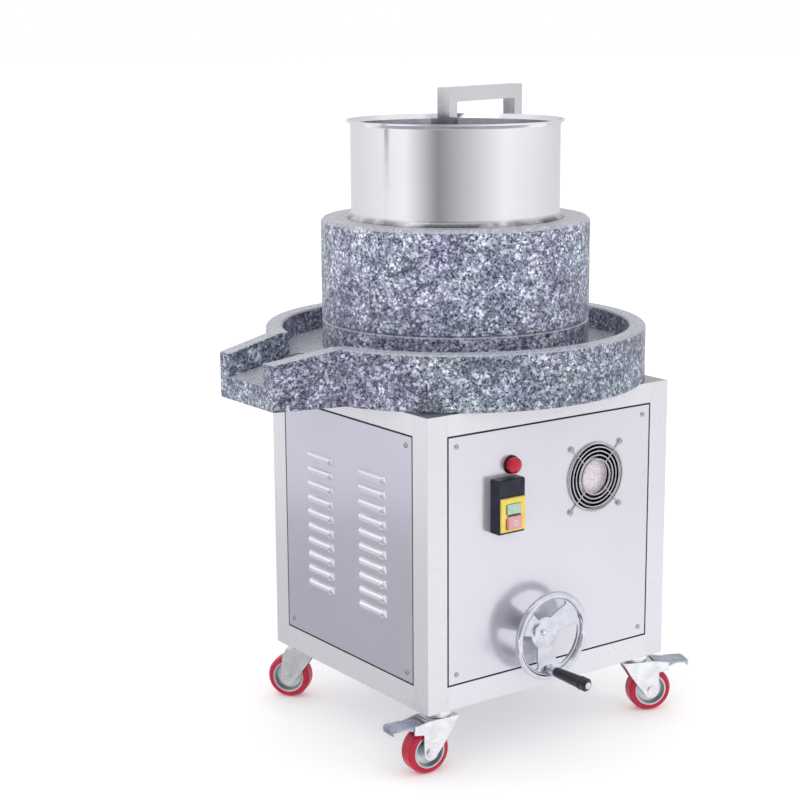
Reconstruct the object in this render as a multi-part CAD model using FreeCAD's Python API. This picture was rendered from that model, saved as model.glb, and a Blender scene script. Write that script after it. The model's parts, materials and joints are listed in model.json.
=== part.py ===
import FreeCAD, Part
import math
import os
from FreeCAD import Rotation, Vector

# Stone mill for nut butter, in millimetres. +Z is up, the front with the controls faces -Y and the spout
# points to -X. It is drawn about the axis of the stones, with the floor at z = 0, and moved at the end so that
# the origin lies on the floor, in the middle of the machine's footprint.

# ---------------------------------------------------------------------------------------------------------
# Driving dimensions
# ---------------------------------------------------------------------------------------------------------

# Fits and gaps
FLAT_GAP = 0.3              # between flat faces that slide or turn on each other
RUNNING_FIT = 0.05          # radial, shafts in their bushes
SLIDE_FIT = 0.4             # each side, pieces that lift out of a socket
HOLE_PLAY = 0.3             # radial, screws and stems in their holes
PANEL_GAP = 3.0             # open joint all round each cabinet panel

# Cabinet of folded stainless sheet
CABINET_WIDTH = 500.0
CABINET_FRONT = 257.0       # from the stone axis to the front face
CABINET_REAR = 188.0        # from the stone axis to the rear face
CABINET_BASE = 103.0        # height of the underside above the floor
CABINET_TOP = 581.0
SHEET = 2.0
POST_FACE = 38.0            # visible width of a corner post
UPPER_RAIL_FACE = 33.5
LOWER_RAIL_FACE = 39.0
LIP_WIDTH = 26.0            # lip behind a panel's edge
LIP_LAP = 4.0               # where the lip is spot welded behind the face
FLANGE_DEPTH = 34.0
TOP_PLATE = 8.0
BASE_PLATE = 4.0
PLATE_EDGE_GAP = 0.3
FLANGE_SHORT = 32.0         # rail flanges end this far from the posts, clear of the castor nuts

# Pressed louvres
LOUVRE_LENGTH = 76.0
LOUVRE_RISE = 13.0          # height of the hood where it leaves the panel
LOUVRE_PROUD = 7.0
LOUVRE_LIP = 4.0            # upright part of the hood above its open lower edge
LOUVRE_END = 9.0            # length of its rounded ends
LOUVRE_CORNER = 3.5         # how far the ends lean in at the top
LOUVRE_FLATS = 3            # flats that make the round of the hood
LOUVRE_SHEET = 1.2
LOUVRE_SLOT = 7.0
LOUVRE_PITCH = 24.5
LOUVRE_ROWS = 10
LOUVRE_COLUMN_SPACING = 150.0

# Bed stone with its trough and spout
BED_RADIUS = 320.0
BED_HEIGHT = 91.0
BED_RIM = 28.0
BED_BEVEL = 2.5
TROUGH_FLOOR = 56.0         # above the bed stone's foot
TROUGH_FALL = 4.0           # the trough's floor falls outwards
TABLE_TOP = 101.6           # grinding table above the bed stone's foot, as wide as the runner
SPOUT_REACH = 413.0
SPOUT_ROOT_HALF = 106.0
SPOUT_END_HALF = 80.0
SPOUT_TOP_DROP = 18.0
SPOUT_FLOOR_FALL = 16.0
BED_BORE = 48.0

# Runner stone
RUNNER_RADIUS = 225.0
RUNNER_HEIGHT = 168.0
RUNNER_BEVEL = 5.0
GRIND_GAP = 0.4
EYE_RADIUS = 45.0
LIFTING_HOLE_RADIUS = 22.5
LIFTING_HOLE_DEPTH = 55.0
LIFTING_HOLE_DROP = 53.0    # below the runner's top face
LIFTING_HOLE_ANGLE = -43.0

# Dressing of the two grinding faces
FURROW_SECTORS = 8
FURROW_PER_SECTOR = 3
FURROW_WIDTH = 9.0
FURROW_DEPTH = 3.0
FURROW_PITCH = 27.0
FURROW_TILT = 14.0          # degrees between a sector's furrows and its radius
FURROW_INNER = 70.0
FURROW_LAND = 8.0           # plain land at the outer edge

# Hopper of thin sheet, standing on the runner
HOPPER_RADIUS = 174.5
HOPPER_HEIGHT = 161.0
HOPPER_SHEET = 1.5
HOPPER_LIP_FLARE = 5.0
HOPPER_LIP_HEIGHT = 8.0
HOPPER_HEM = 3.0            # folded edge of the lip
HOPPER_FOOT_FLARE = 7.5
HOPPER_FOOT_HEIGHT = 12.0

# Stirrer arm: a bent-over square tube that stands beside the cabinet and hangs into the hopper
ARM_TUBE = 25.0
ARM_WALL = 2.0
ARM_TOP = 1058.0
ARM_LEG_X = 80.0
ARM_LEG_Y = 127.0
ARM_POST_BEHIND = 8.0       # post's axis behind the cabinet's rear face
ARM_POST_OFF_BED = 23.4     # post's axis outside the bed stone
ARM_FOOT_GAP = 9.0          # wiper above the runner's top
WIPER_HEIGHT = 34.0
WIPER_THICKNESS = 4.0
WIPER_LENGTH = 86.0
SOCKET_WALL = 4.0
SOCKET_LENGTH = 84.0
SOCKET_TOP = 548.0
POST_FOOT_MARGIN = 6.0
SOCKET_FLANGE = 4.0
SOCKET_BOLT_RADIUS = 4.0
SOCKET_BOLT_SPACING = 56.0
SOCKET_BOLT_INSET = 15.0    # from the flange's front edge

# Main shaft, driver and bush
SHAFT_RADIUS = 20.0
SHAFT_FOOT = 280.0
SHAFT_HEAD_RADIUS = 24.0
SHAFT_HEAD = 22.0
KEY_WIDTH = 12.0
KEY_PROUD = 3.5
KEY_LENGTH = 90.0
RYND_LENGTH = 170.0
RYND_WIDTH = 44.0
RYND_THICKNESS = 20.0
BUSH_FLANGE_RADIUS = 62.0
BUSH_FLANGE = 5.0

# Gearmotor, hung under the top plate
GEARBOX_FLANGE_RADIUS = 95.0
GEARBOX_FLANGE = 12.0
GEARBOX_HEIGHT = 130.0
GEARBOX_HALF_LENGTH = 56.0
GEARBOX_FRONT = 64.0
WORM_OFFSET = 78.0          # motor axis behind the stone axis
MOTOR_DROP = 80.0           # motor axis below the top plate
MOTOR_RADIUS = 64.0
MOTOR_FIN = 5.0
MOTOR_FINS = 12
MOTOR_FIN_WIDTH = 3.0
MOTOR_LENGTH = 122.0
MOTOR_FLANGE = 10.0
COWL_LENGTH = 42.0
COWL_SHEET = 1.5
SLEEVE_RADIUS = 31.0
SLEEVE_STAND_OUT = 6.0
SLEEVE_LIP = 3.0
TERMINAL_BOX = 62.0
TERMINAL_BOX_HEIGHT = 26.0

# Screw jack that lifts the runner
JACK_BODY = 84.0
JACK_TOP = 240.0
JACK_FLANGE = 120.0
JACK_FLANGE_THICKNESS = 10.0
JACK_SHAFT_OFFSET = 28.0    # worm centre distance
JACK_SHAFT_HEIGHT = 200.0
LIFT_SCREW_RADIUS = 15.0
LIFT_CUP_RADIUS = 36.0
LIFT_CUP_HEIGHT = 34.0
BEARING_RADIUS = 30.0
BEARING_HEIGHT = 18.0
BEARING_BORE = 14.0

# Handwheel
WHEEL_RIM_RADIUS = 67.5     # to the middle of the rim's section
WHEEL_RIM_SECTION = 6.0
WHEEL_STAND_OFF = 35.0      # rim plane in front of the panel
WHEEL_HUB_RADIUS = 17.0
WHEEL_HUB_FACE = 15.0       # hub face in front of the panel
WHEEL_PANEL_GAP = 2.0
WHEEL_WEB = 4.0
WHEEL_ARMS = 3
WHEEL_WINDOW_ANGLE = 76.0
WHEEL_WINDOW_INNER = 26.0
WHEEL_WINDOW_MARGIN = 1.5   # strip of web left inside the rim
WHEEL_WINDOW_CORNER = 7.0   # degrees taken by a window's rounded outer corner
WHEEL_SHAFT_RADIUS = 8.0
CRANK_RADIUS = 58.0
CRANK_SPINDLE_RADIUS = 4.0
FERRULE_RADIUS = 7.0
FERRULE_LENGTH = 9.0
FERRULE_GROOVE = 1.2
GRIP_LENGTH = 76.0
GRIP_ROOT_RADIUS = 7.0
GRIP_END_RADIUS = 11.0
GRIP_ROOT_ROUND = 1.2
GRIP_END_ROUND = 3.0
GRIP_RIBS = 3               # ribs round the grip before its end
GRIP_RIB_PITCH = 3.2
GRIP_RIB_DEPTH = 0.7
GRIP_SCREW_RADIUS = 5.5
GRIP_SCREW_HEAD = 1.6
SHAFT_FLANGE_RADIUS = 26.0
SHAFT_FLANGE_THICKNESS = 7.0
SHAFT_BOSS_RADIUS = 14.0
SHAFT_BOSS_LENGTH = 20.0

# Push-button switch
SWITCH_X = -100.0
SWITCH_Z = 424.0
SWITCH_WIDTH = 54.0
SWITCH_HEIGHT = 88.0
SWITCH_PROUD = 21.0
SWITCH_EDGE_ROUND = 3.0
SWITCH_BODY_DEPTH = 34.0    # coil body behind the panel
SWITCH_BODY_WIDTH = 40.0
SWITCH_BODY_HEIGHT = 62.0
COLLAR_WIDTH = 48.0
COLLAR_HEIGHT = 54.0
COLLAR_DROP = 12.0          # collar's middle below the switch's middle
COLLAR_PROUD = 5.0
COLLAR_TOP_WALL = 5.0
COLLAR_WELL = 4.0           # finger wells in the collar, left of each button
COLLAR_TAB = 6.0            # tab of the collar between the wells
COLLAR_WELL_FLOOR = 1.5     # collar left under the wells
BUTTON_WIDTH = 26.0
START_BUTTON_HEIGHT = 17.0
STOP_BUTTON_HEIGHT = 21.0
BUTTON_SPACE = 2.4
BUTTON_LENGTH = 16.0
BUTTON_ROUND = 1.6
START_PROUD = 1.5
STOP_PROUD = 5.0
BUTTON_PLAY = 0.4
BUTTON_TRAVEL = 3.5

# Pilot lamp
LAMP_X = -86.0
LAMP_Z = 486.0
LAMP_BEZEL_RADIUS = 15.0
LAMP_BEZEL = 4.0
LAMP_BEZEL_BEVEL = 1.4
LAMP_LENS_RADIUS = 12.8
LAMP_LENS_STAND = 7.5       # straight side of the lens above its bezel
LAMP_DOME = 3.5
LAMP_BODY_RADIUS = 11.0
LAMP_BODY_LENGTH = 36.0
LAMP_NUT_RADIUS = 14.5
LAMP_NUT = 5.0

# Cooling fan behind the front panel
FAN_X = 91.0
FAN_Z = 439.0
FAN_FRAME = 120.0
FAN_DEPTH = 38.0
FAN_HOLE_SPACING = 105.0
FAN_DUCT_RADIUS = 57.5
FAN_PANEL_HOLE = 54.0
FAN_HUB_RADIUS = 31.0
FAN_HUB_DEPTH = 30.0
FAN_BLADES = 7
FAN_BLADE_TIP_GAP = 2.0
FAN_BLADE_THICKNESS = 1.6
FAN_BLADE_TILT = 38.0
FAN_HOLE_RADIUS = 2.4
FAN_STATOR_DEPTH = 5.0
FAN_STRUT_WIDTH = 6.0
GUARD_WIRE = 2.2
GUARD_RING_FIRST = 29.6
GUARD_RING_PITCH = 6.8
GUARD_RINGS = 5
GUARD_EYE_RADIUS = 4.2
GUARD_LAP = 0.4             # rings sunk into the crossed wires where they are welded

# Cable gland in the rear panel
GLAND_X = 150.0
GLAND_Z = 178.0
GLAND_BORE = 5.0
GLAND_THREAD = 10.0
GLAND_HEX = 13.0
GLAND_HEX_HEIGHT = 4.5
GLAND_TAIL = 9.0            # thread behind the panel
GLAND_CAP_RADIUS = 11.5
GLAND_CAP_LENGTH = 18.0

# Swivel castors
CASTOR_X = 212.0
CASTOR_FRONT_INSET = 25.0
CASTOR_REAR_INSET = 25.0
CASTOR_TRAIL = 25.0
CASTOR_WHEEL_RADIUS = 37.5
CASTOR_TREAD = 10.0
CASTOR_SHOULDER = 3.5       # rounded edge of the tread
CASTOR_WHEEL_WIDTH = 30.0
CASTOR_FORK_SHEET = 2.5
CASTOR_FORK_SPACE = 35.0    # between the fork's cheeks
CASTOR_CHEEK_BOW = 2.0      # how far the cheeks' front edge bows out
CASTOR_CROWN_RADIUS = 27.0
CASTOR_CROWN_HEIGHT = 88.0  # underside of the crown above the floor
CASTOR_RACE_RADIUS = 24.0
CASTOR_STEM_RADIUS = 6.0
CASTOR_NUT_RADIUS = 10.0
CASTOR_NUT = 9.0
CASTOR_AXLE_RADIUS = 5.0
CASTOR_ANGLES = {"front_left": 176.0, "front_right": -22.0, "rear_left": 130.0, "rear_right": 64.0}
BRAKED_CASTORS = ("front_left", "front_right")
PEDAL_REACH = 93.0          # from the swivel axis to the pedal's tip
PEDAL_WIDTH = 39.0
PEDAL_SHEET = 2.0
PEDAL_PIN_RADIUS = 3.0
PEDAL_PIN_FROM_AXLE = 16.0
PEDAL_PIN_HEIGHT = 80.5
PEDAL_BOSS_RADIUS = 5.5
PEDAL_LIP = 9.0             # turned down at the tip
PEDAL_FREE = 4.0            # from the fork's edge to where the pedal widens

# ---------------------------------------------------------------------------------------------------------
# Sizes that follow from them
# ---------------------------------------------------------------------------------------------------------

HALF_WIDTH = CABINET_WIDTH / 2
OPENING_LOW = CABINET_BASE + LOWER_RAIL_FACE
OPENING_HIGH = CABINET_TOP - UPPER_RAIL_FACE
PLATE_UNDERSIDE = CABINET_TOP - TOP_PLATE
BASE_TOP = CABINET_BASE + BASE_PLATE
RUNNER_FOOT = CABINET_TOP + TABLE_TOP + GRIND_GAP
RUNNER_TOP = RUNNER_FOOT + RUNNER_HEIGHT
# The arm's post stands clear of the bed stone, and beside the cabinet if the stone is small.
ARM_POST_Y = CABINET_REAR + ARM_POST_BEHIND
BESIDE_BED = math.sqrt(max(0.0, (BED_RADIUS + ARM_POST_OFF_BED) ** 2 - ARM_POST_Y ** 2))
ARM_POST_X = max(HALF_WIDTH + ARM_TUBE, BESIDE_BED)
ARM_ANGLE = math.degrees(math.atan2(ARM_POST_Y - ARM_LEG_Y, ARM_POST_X - ARM_LEG_X))
ARM_SPAN = math.hypot(ARM_POST_X - ARM_LEG_X, ARM_POST_Y - ARM_LEG_Y)
PANEL_FACE_Y = -CABINET_FRONT
SPINDLE_X = -JACK_SHAFT_OFFSET
SPINDLE_Z = JACK_SHAFT_HEIGHT

UP = Vector(0, 0, 1)
FORWARD = Vector(0, -1, 0)
BACK = Vector(0, 1, 0)
RIGHT = Vector(1, 0, 0)


# ---------------------------------------------------------------------------------------------------------
# Forms
# ---------------------------------------------------------------------------------------------------------

def block(x0, x1, y0, y1, z0, z1):
    return Part.makeBox(x1 - x0, y1 - y0, z1 - z0, Vector(x0, y0, z0))


def rod(radius, length, start, direction=UP):
    return Part.makeCylinder(radius, length, start, direction)


def tube(outer, inner, length, start, direction=UP):
    return rod(outer, length, start, direction).cut(rod(inner, length, start, direction))


def outline(points):
    closed = list(points) + [points[0]]
    return Part.Face(Part.makePolygon(closed))


def slab(points, z0, z1):
    """A flat outline in X and Y, drawn up from z0 to z1."""
    return outline([Vector(x, y, z0) for x, y in points]).extrude(Vector(0, 0, z1 - z0))


def spun(profile, start, direction):
    """A face in X and Z turned about Z, then set on an axis from start."""
    solid = profile.revolve(Vector(0, 0, 0), UP, 360)
    solid.Placement = FreeCAD.Placement(start, Rotation(UP, direction))
    return solid


def turned(points, start=Vector(0, 0, 0), direction=UP):
    """A solid of revolution: points are (radius, height) along an axis from start."""
    return spun(outline([Vector(r, 0, h) for r, h in points]), start, direction)


def hexagon(radius, length, start, direction=UP):
    corners = [(radius * math.cos(k * math.pi / 3), radius * math.sin(k * math.pi / 3)) for k in range(6)]
    solid = slab(corners, 0, length)
    solid.Placement = FreeCAD.Placement(start, Rotation(UP, direction))
    return solid


def rotated(shape, angle, axis=UP, centre=Vector(0, 0, 0)):
    copy = shape.copy()
    copy.rotate(centre, axis, angle)
    return copy


def moved(shape, x=0.0, y=0.0, z=0.0):
    copy = shape.copy()
    copy.translate(Vector(x, y, z))
    return copy


def joined(shapes):
    whole = shapes[0]
    if len(shapes) > 1:
        whole = shapes[0].multiFuse(shapes[1:])
    return whole.removeSplitter()


def group(shapes):
    return Part.makeCompound(shapes)


# ---------------------------------------------------------------------------------------------------------
# Cabinet
# ---------------------------------------------------------------------------------------------------------

def corner_post(side, face_y, inward_y):
    """One folded corner post; side is -1 or 1, inward_y points from its face into the cabinet."""
    x0 = side * HALF_WIDTH
    sx = -side

    def piece(a0, a1, b0, b1, z0, z1):
        xs = sorted((x0 + sx * a0, x0 + sx * a1))
        ys = sorted((face_y + inward_y * b0, face_y + inward_y * b1))
        return block(xs[0], xs[1], ys[0], ys[1], z0, z1)

    lip_start = POST_FACE - LIP_LAP
    lip_end = lip_start + LIP_WIDTH
    low = OPENING_LOW - LIP_LAP
    high = OPENING_HIGH + LIP_LAP
    parts = [
        piece(0, POST_FACE, 0, SHEET, CABINET_BASE, CABINET_TOP),
        piece(0, SHEET, 0, POST_FACE, CABINET_BASE, CABINET_TOP),
        piece(lip_start, lip_end, SHEET, 2 * SHEET, low, high),
        piece(SHEET, 2 * SHEET, lip_start, lip_end, low, high),
    ]
    return joined(parts)


def rail(half_length, upper):
    """A folded rail along X, its face at y = 0 and the cabinet at +Y: face, lip behind the panel, flange."""
    lip_half = half_length + LIP_LAP - LIP_WIDTH - PLATE_EDGE_GAP
    if upper:
        face_low, face_high = OPENING_HIGH, CABINET_TOP
        lip_low, lip_high = OPENING_HIGH + LIP_LAP - LIP_WIDTH, OPENING_HIGH + LIP_LAP
        flange_low = PLATE_UNDERSIDE - SHEET
    else:
        face_low, face_high = CABINET_BASE, OPENING_LOW
        lip_low, lip_high = OPENING_LOW - LIP_LAP, OPENING_LOW - LIP_LAP + LIP_WIDTH
        flange_low = BASE_TOP
    flange_half = half_length - FLANGE_SHORT
    return joined([
        block(-half_length, half_length, 0, SHEET, face_low, face_high),
        block(-lip_half, lip_half, SHEET, 2 * SHEET, lip_low, lip_high),
        block(-flange_half, flange_half, SHEET, FLANGE_DEPTH, flange_low, flange_low + SHEET),
    ])


def rails(upper):
    """Front and rear rails run between the posts; the side rails stop short of their flanges."""
    long_half = HALF_WIDTH - POST_FACE
    depth = CABINET_FRONT + CABINET_REAR
    middle_y = (CABINET_REAR - CABINET_FRONT) / 2
    side_half = depth / 2 - POST_FACE
    front = moved(rail(long_half, upper), 0, -CABINET_FRONT, 0)
    rear = moved(rotated(rail(long_half, upper), 180), 0, CABINET_REAR, 0)
    left = moved(rotated(rail(side_half, upper), -90), -HALF_WIDTH, middle_y, 0)
    right = moved(rotated(rail(side_half, upper), 90), HALF_WIDTH, middle_y, 0)
    return [front, rear, left, right]


def inner_plate(z0, z1):
    """A plate that fills the cabinet inside its sheet, with its corners clear of the posts."""
    inset = SHEET + PLATE_EDGE_GAP
    return block(-HALF_WIDTH + inset, HALF_WIDTH - inset, -CABINET_FRONT + inset, CABINET_REAR - inset, z0, z1)


def top_plate():
    plate = inner_plate(PLATE_UNDERSIDE, CABINET_TOP)
    return plate.cut(rod(BED_BORE, TOP_PLATE, Vector(0, 0, PLATE_UNDERSIDE)))


def castor_places():
    front = -CABINET_FRONT + CASTOR_FRONT_INSET
    rear = CABINET_REAR - CASTOR_REAR_INSET
    return {
        "front_left": (-CASTOR_X, front),
        "front_right": (CASTOR_X, front),
        "rear_left": (-CASTOR_X, rear),
        "rear_right": (CASTOR_X, rear),
    }


def base_plate():
    plate = inner_plate(CABINET_BASE, BASE_TOP)
    for x, y in castor_places().values():
        plate = plate.cut(rod(CASTOR_STEM_RADIUS + HOLE_PLAY, BASE_PLATE, Vector(x, y, CABINET_BASE)))
    return plate


def blank_panel(half_width):
    """A flat panel in the XZ plane, its outer face at y = 0."""
    half = half_width - PANEL_GAP
    return block(-half, half, 0, SHEET, OPENING_LOW + PANEL_GAP, OPENING_HIGH - PANEL_GAP)


def louvre_form(x, z, inset):
    """Outside of a louvre's pressed hood, or with an inset the hollow under it: above an upright lip it rounds
    back into the panel, and its ends round back as well."""
    half = LOUVRE_LENGTH / 2 - inset
    proud = LOUVRE_PROUD - inset
    low = z - inset
    back = half - LOUVRE_END
    rise = LOUVRE_RISE - LOUVRE_LIP - inset

    def row(reach, out, height):
        return [Vector(x - reach, -out, height), Vector(x + reach, -out, height)]

    foot = row(half, 0, low)
    rows = [row(back, proud, low)]
    for k in range(LOUVRE_FLATS + 1):
        turn = math.radians(90.0 * k / LOUVRE_FLATS)
        reach = back + (LOUVRE_END - LOUVRE_CORNER) * math.sin(turn)
        rows.append(row(reach, proud * math.cos(turn), z + LOUVRE_LIP + rise * math.sin(turn)))
    faces = [outline([*foot, *reversed(rows[0])]), outline([*rows[-1], *reversed(foot)])]
    for lower, upper in zip(rows, rows[1:]):
        faces.append(outline([*lower, *reversed(upper)]))
        faces += [outline([foot[end], lower[end], upper[end]]) for end in (0, 1)]
    return Part.makeSolid(Part.makeShell(faces))


def louvre_hood(x, z):
    return louvre_form(x, z, 0.0).cut(louvre_form(x, z, LOUVRE_SHEET))


def louvre_slot(x, z):
    half = LOUVRE_LENGTH / 2 - LOUVRE_END
    return block(x - half, x + half, 0, SHEET, z, z + LOUVRE_SLOT)


def louvre_places():
    middle_z = (OPENING_LOW + OPENING_HIGH) / 2
    first = middle_z - LOUVRE_PITCH * (LOUVRE_ROWS - 1) / 2
    places = []
    for x in (-LOUVRE_COLUMN_SPACING / 2, LOUVRE_COLUMN_SPACING / 2):
        for row in range(LOUVRE_ROWS):
            places.append((x, first + row * LOUVRE_PITCH))
    return places


def louvred_panel(half_width):
    panel = blank_panel(half_width)
    panel = panel.cut(group([louvre_slot(x, z) for x, z in louvre_places()]))
    return panel.fuse([louvre_hood(x, z) for x, z in louvre_places()])


def front_panel():
    panel = moved(blank_panel(HALF_WIDTH - POST_FACE), 0, PANEL_FACE_Y, 0)
    coil_half_width = SWITCH_BODY_WIDTH / 2 + HOLE_PLAY
    coil_half_height = SWITCH_BODY_HEIGHT / 2 + HOLE_PLAY
    return panel.cut([
        rod(FAN_PANEL_HOLE, SHEET, Vector(FAN_X, PANEL_FACE_Y, FAN_Z), BACK),
        rod(LAMP_BODY_RADIUS + HOLE_PLAY, SHEET, Vector(LAMP_X, PANEL_FACE_Y, LAMP_Z), BACK),
        rod(WHEEL_SHAFT_RADIUS + HOLE_PLAY, SHEET, Vector(SPINDLE_X, PANEL_FACE_Y, SPINDLE_Z), BACK),
        block(SWITCH_X - coil_half_width, SWITCH_X + coil_half_width, PANEL_FACE_Y, PANEL_FACE_Y + SHEET,
              SWITCH_Z - coil_half_height, SWITCH_Z + coil_half_height),
    ])


def side_middle_y():
    return (CABINET_REAR - CABINET_FRONT) / 2


def side_half():
    return (CABINET_FRONT + CABINET_REAR) / 2 - POST_FACE


def to_left(shape):
    return moved(rotated(shape, -90), -HALF_WIDTH, side_middle_y(), 0)


def to_right(shape):
    return moved(rotated(shape, 90), HALF_WIDTH, side_middle_y(), 0)


def to_rear(shape):
    return moved(rotated(shape, 180), 0, CABINET_REAR, 0)


def rear_panel():
    panel = to_rear(blank_panel(HALF_WIDTH - POST_FACE))
    hole = rod(GLAND_THREAD + HOLE_PLAY, SHEET, Vector(GLAND_X, CABINET_REAR - SHEET, GLAND_Z), BACK)
    return panel.cut(hole)


# ---------------------------------------------------------------------------------------------------------
# Stones
# ---------------------------------------------------------------------------------------------------------

def furrows(radius, z, upward):
    """Grooves of one grinding face: sectors of parallel furrows that run out towards the edge."""
    grooves = []
    low = z - FURROW_DEPTH if upward else z
    for sector in range(FURROW_SECTORS):
        for k in range(FURROW_PER_SECTOR):
            offset = k * FURROW_PITCH
            inner = FURROW_INNER + 1.35 * offset
            outer = math.sqrt((radius - FURROW_LAND) ** 2 - offset ** 2)
            groove = block(inner, outer, offset - FURROW_WIDTH / 2, offset + FURROW_WIDTH / 2,
                           low, low + FURROW_DEPTH)
            turn = sector * 360.0 / FURROW_SECTORS + (FURROW_TILT if upward else -FURROW_TILT)
            grooves.append(rotated(groove, turn))
    return grooves


def spout_outline(root_half, end_half, start_x):
    """Tapered outline towards -X from start_x to the lip; the taper is the same line at any start."""
    root_x = -math.sqrt(BED_RADIUS ** 2 - SPOUT_ROOT_HALF ** 2)
    slope = (root_half - end_half) / (SPOUT_REACH + root_x)
    start_half = root_half + slope * (start_x - root_x)
    end_x = -SPOUT_REACH
    return [(start_x, -start_half), (start_x, start_half), (end_x, end_half), (end_x, -end_half)]


def bed_stone():
    foot = CABINET_TOP
    rim_top = foot + BED_HEIGHT
    trough_outer = BED_RADIUS - BED_RIM
    body = turned([
        (BED_BORE, 0), (BED_RADIUS - BED_BEVEL, 0), (BED_RADIUS, BED_BEVEL),
        (BED_RADIUS, BED_HEIGHT - BED_BEVEL), (BED_RADIUS - BED_BEVEL, BED_HEIGHT),
        (trough_outer + BED_BEVEL, BED_HEIGHT), (trough_outer, BED_HEIGHT - BED_BEVEL),
        (trough_outer, TROUGH_FLOOR - TROUGH_FALL), (RUNNER_RADIUS, TROUGH_FLOOR),
        (RUNNER_RADIUS, TABLE_TOP - BED_BEVEL), (RUNNER_RADIUS - BED_BEVEL, TABLE_TOP),
        (BED_BORE, TABLE_TOP),
    ], Vector(0, 0, foot))
    # The spout is carved from the same block: its walls taper and their top edge falls to the lip.
    spout = slab(spout_outline(SPOUT_ROOT_HALF, SPOUT_END_HALF, -trough_outer), foot, rim_top)
    fall_start = -math.sqrt(BED_RADIUS ** 2 - SPOUT_ROOT_HALF ** 2)
    over = BED_HEIGHT
    wedge = outline([
        Vector(fall_start, -BED_RADIUS, rim_top), Vector(-SPOUT_REACH, -BED_RADIUS, rim_top - SPOUT_TOP_DROP),
        Vector(-SPOUT_REACH - over, -BED_RADIUS, rim_top - SPOUT_TOP_DROP),
        Vector(-SPOUT_REACH - over, -BED_RADIUS, rim_top + over),
        Vector(fall_start, -BED_RADIUS, rim_top + over),
    ]).extrude(Vector(0, 2 * BED_RADIUS, 0))
    body = body.fuse(spout.cut(wedge))
    # Channel through the rim to the lip, its floor falling from the trough.
    channel_start = -(RUNNER_RADIUS + trough_outer) / 2
    channel_plan = spout_outline(SPOUT_ROOT_HALF - BED_RIM, SPOUT_END_HALF - BED_RIM, channel_start)
    floor = foot + TROUGH_FLOOR - TROUGH_FALL
    channel = slab(channel_plan, floor - SPOUT_FLOOR_FALL, rim_top + BED_BEVEL)
    ramp = outline([
        Vector(channel_start, -BED_RADIUS, floor), Vector(-SPOUT_REACH, -BED_RADIUS, floor - SPOUT_FLOOR_FALL),
        Vector(-SPOUT_REACH, -BED_RADIUS, floor - 2 * SPOUT_FLOOR_FALL),
        Vector(channel_start, -BED_RADIUS, floor - 2 * SPOUT_FLOOR_FALL),
    ]).extrude(Vector(0, 2 * BED_RADIUS, 0))
    body = body.cut(channel.cut(ramp))
    body = body.cut(furrows(RUNNER_RADIUS, foot + TABLE_TOP, True))
    return body.cut(bush_body(HOLE_PLAY)).removeSplitter()


def bush_body(grow):
    """The guide bush in the bed stone: a sleeve through the bore with a flange let into the table."""
    foot = PLATE_UNDERSIDE
    top = CABINET_TOP + TABLE_TOP - FURROW_DEPTH
    radius = BED_BORE - HOLE_PLAY + grow
    sleeve = rod(radius, top - foot, Vector(0, 0, foot))
    flange = rod(BUSH_FLANGE_RADIUS + grow, BUSH_FLANGE + FURROW_DEPTH * (1 if grow else 0),
                 Vector(0, 0, top - BUSH_FLANGE))
    return sleeve.fuse(flange)


def guide_bush():
    length = TABLE_TOP + TOP_PLATE
    bore = rod(SHAFT_RADIUS + RUNNING_FIT, length, Vector(0, 0, PLATE_UNDERSIDE))
    return bush_body(0.0).cut(bore).removeSplitter()


def runner_stone():
    dish = FURROW_DEPTH
    body = turned([
        (EYE_RADIUS, dish), (FURROW_INNER, dish), (FURROW_INNER + 2 * RUNNER_BEVEL, 0),
        (RUNNER_RADIUS - BED_BEVEL, 0), (RUNNER_RADIUS, BED_BEVEL),
        (RUNNER_RADIUS, RUNNER_HEIGHT - RUNNER_BEVEL), (RUNNER_RADIUS - RUNNER_BEVEL, RUNNER_HEIGHT),
        (EYE_RADIUS + RUNNER_BEVEL, RUNNER_HEIGHT), (EYE_RADIUS, RUNNER_HEIGHT - RUNNER_BEVEL),
    ], Vector(0, 0, RUNNER_FOOT))
    body = body.cut(furrows(RUNNER_RADIUS, RUNNER_FOOT, False))
    for turn in (0, 180):
        start = Vector(RUNNER_RADIUS - LIFTING_HOLE_DEPTH, 0, RUNNER_TOP - LIFTING_HOLE_DROP)
        hole = rod(LIFTING_HOLE_RADIUS, LIFTING_HOLE_DEPTH, start, RIGHT)
        body = body.cut(rotated(hole, LIFTING_HOLE_ANGLE + turn))
    return body.cut(rynd_bar(HOLE_PLAY)).removeSplitter()


def rynd_bar(grow):
    """The iron driver across the eye, let into the underside of the runner."""
    half = RYND_LENGTH / 2 + grow
    wide = RYND_WIDTH / 2 + grow
    low = RUNNER_FOOT + FURROW_DEPTH
    pointed = [(-half, -wide * 0.6), (-half * 0.62, -wide), (half * 0.62, -wide), (half, -wide * 0.6),
               (half, wide * 0.6), (half * 0.62, wide), (-half * 0.62, wide), (-half, wide * 0.6)]
    return slab(pointed, low, low + RYND_THICKNESS + grow)


def rynd():
    low = RUNNER_FOOT + FURROW_DEPTH
    hub = rod(SHAFT_HEAD_RADIUS + 2 * SOCKET_WALL, RYND_THICKNESS + SHAFT_HEAD, Vector(0, 0, low))
    bar = rynd_bar(0.0).fuse(hub)
    socket = rod(SHAFT_RADIUS, RYND_THICKNESS + SHAFT_HEAD - SOCKET_WALL, Vector(0, 0, low))
    return bar.cut(socket).removeSplitter()


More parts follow.
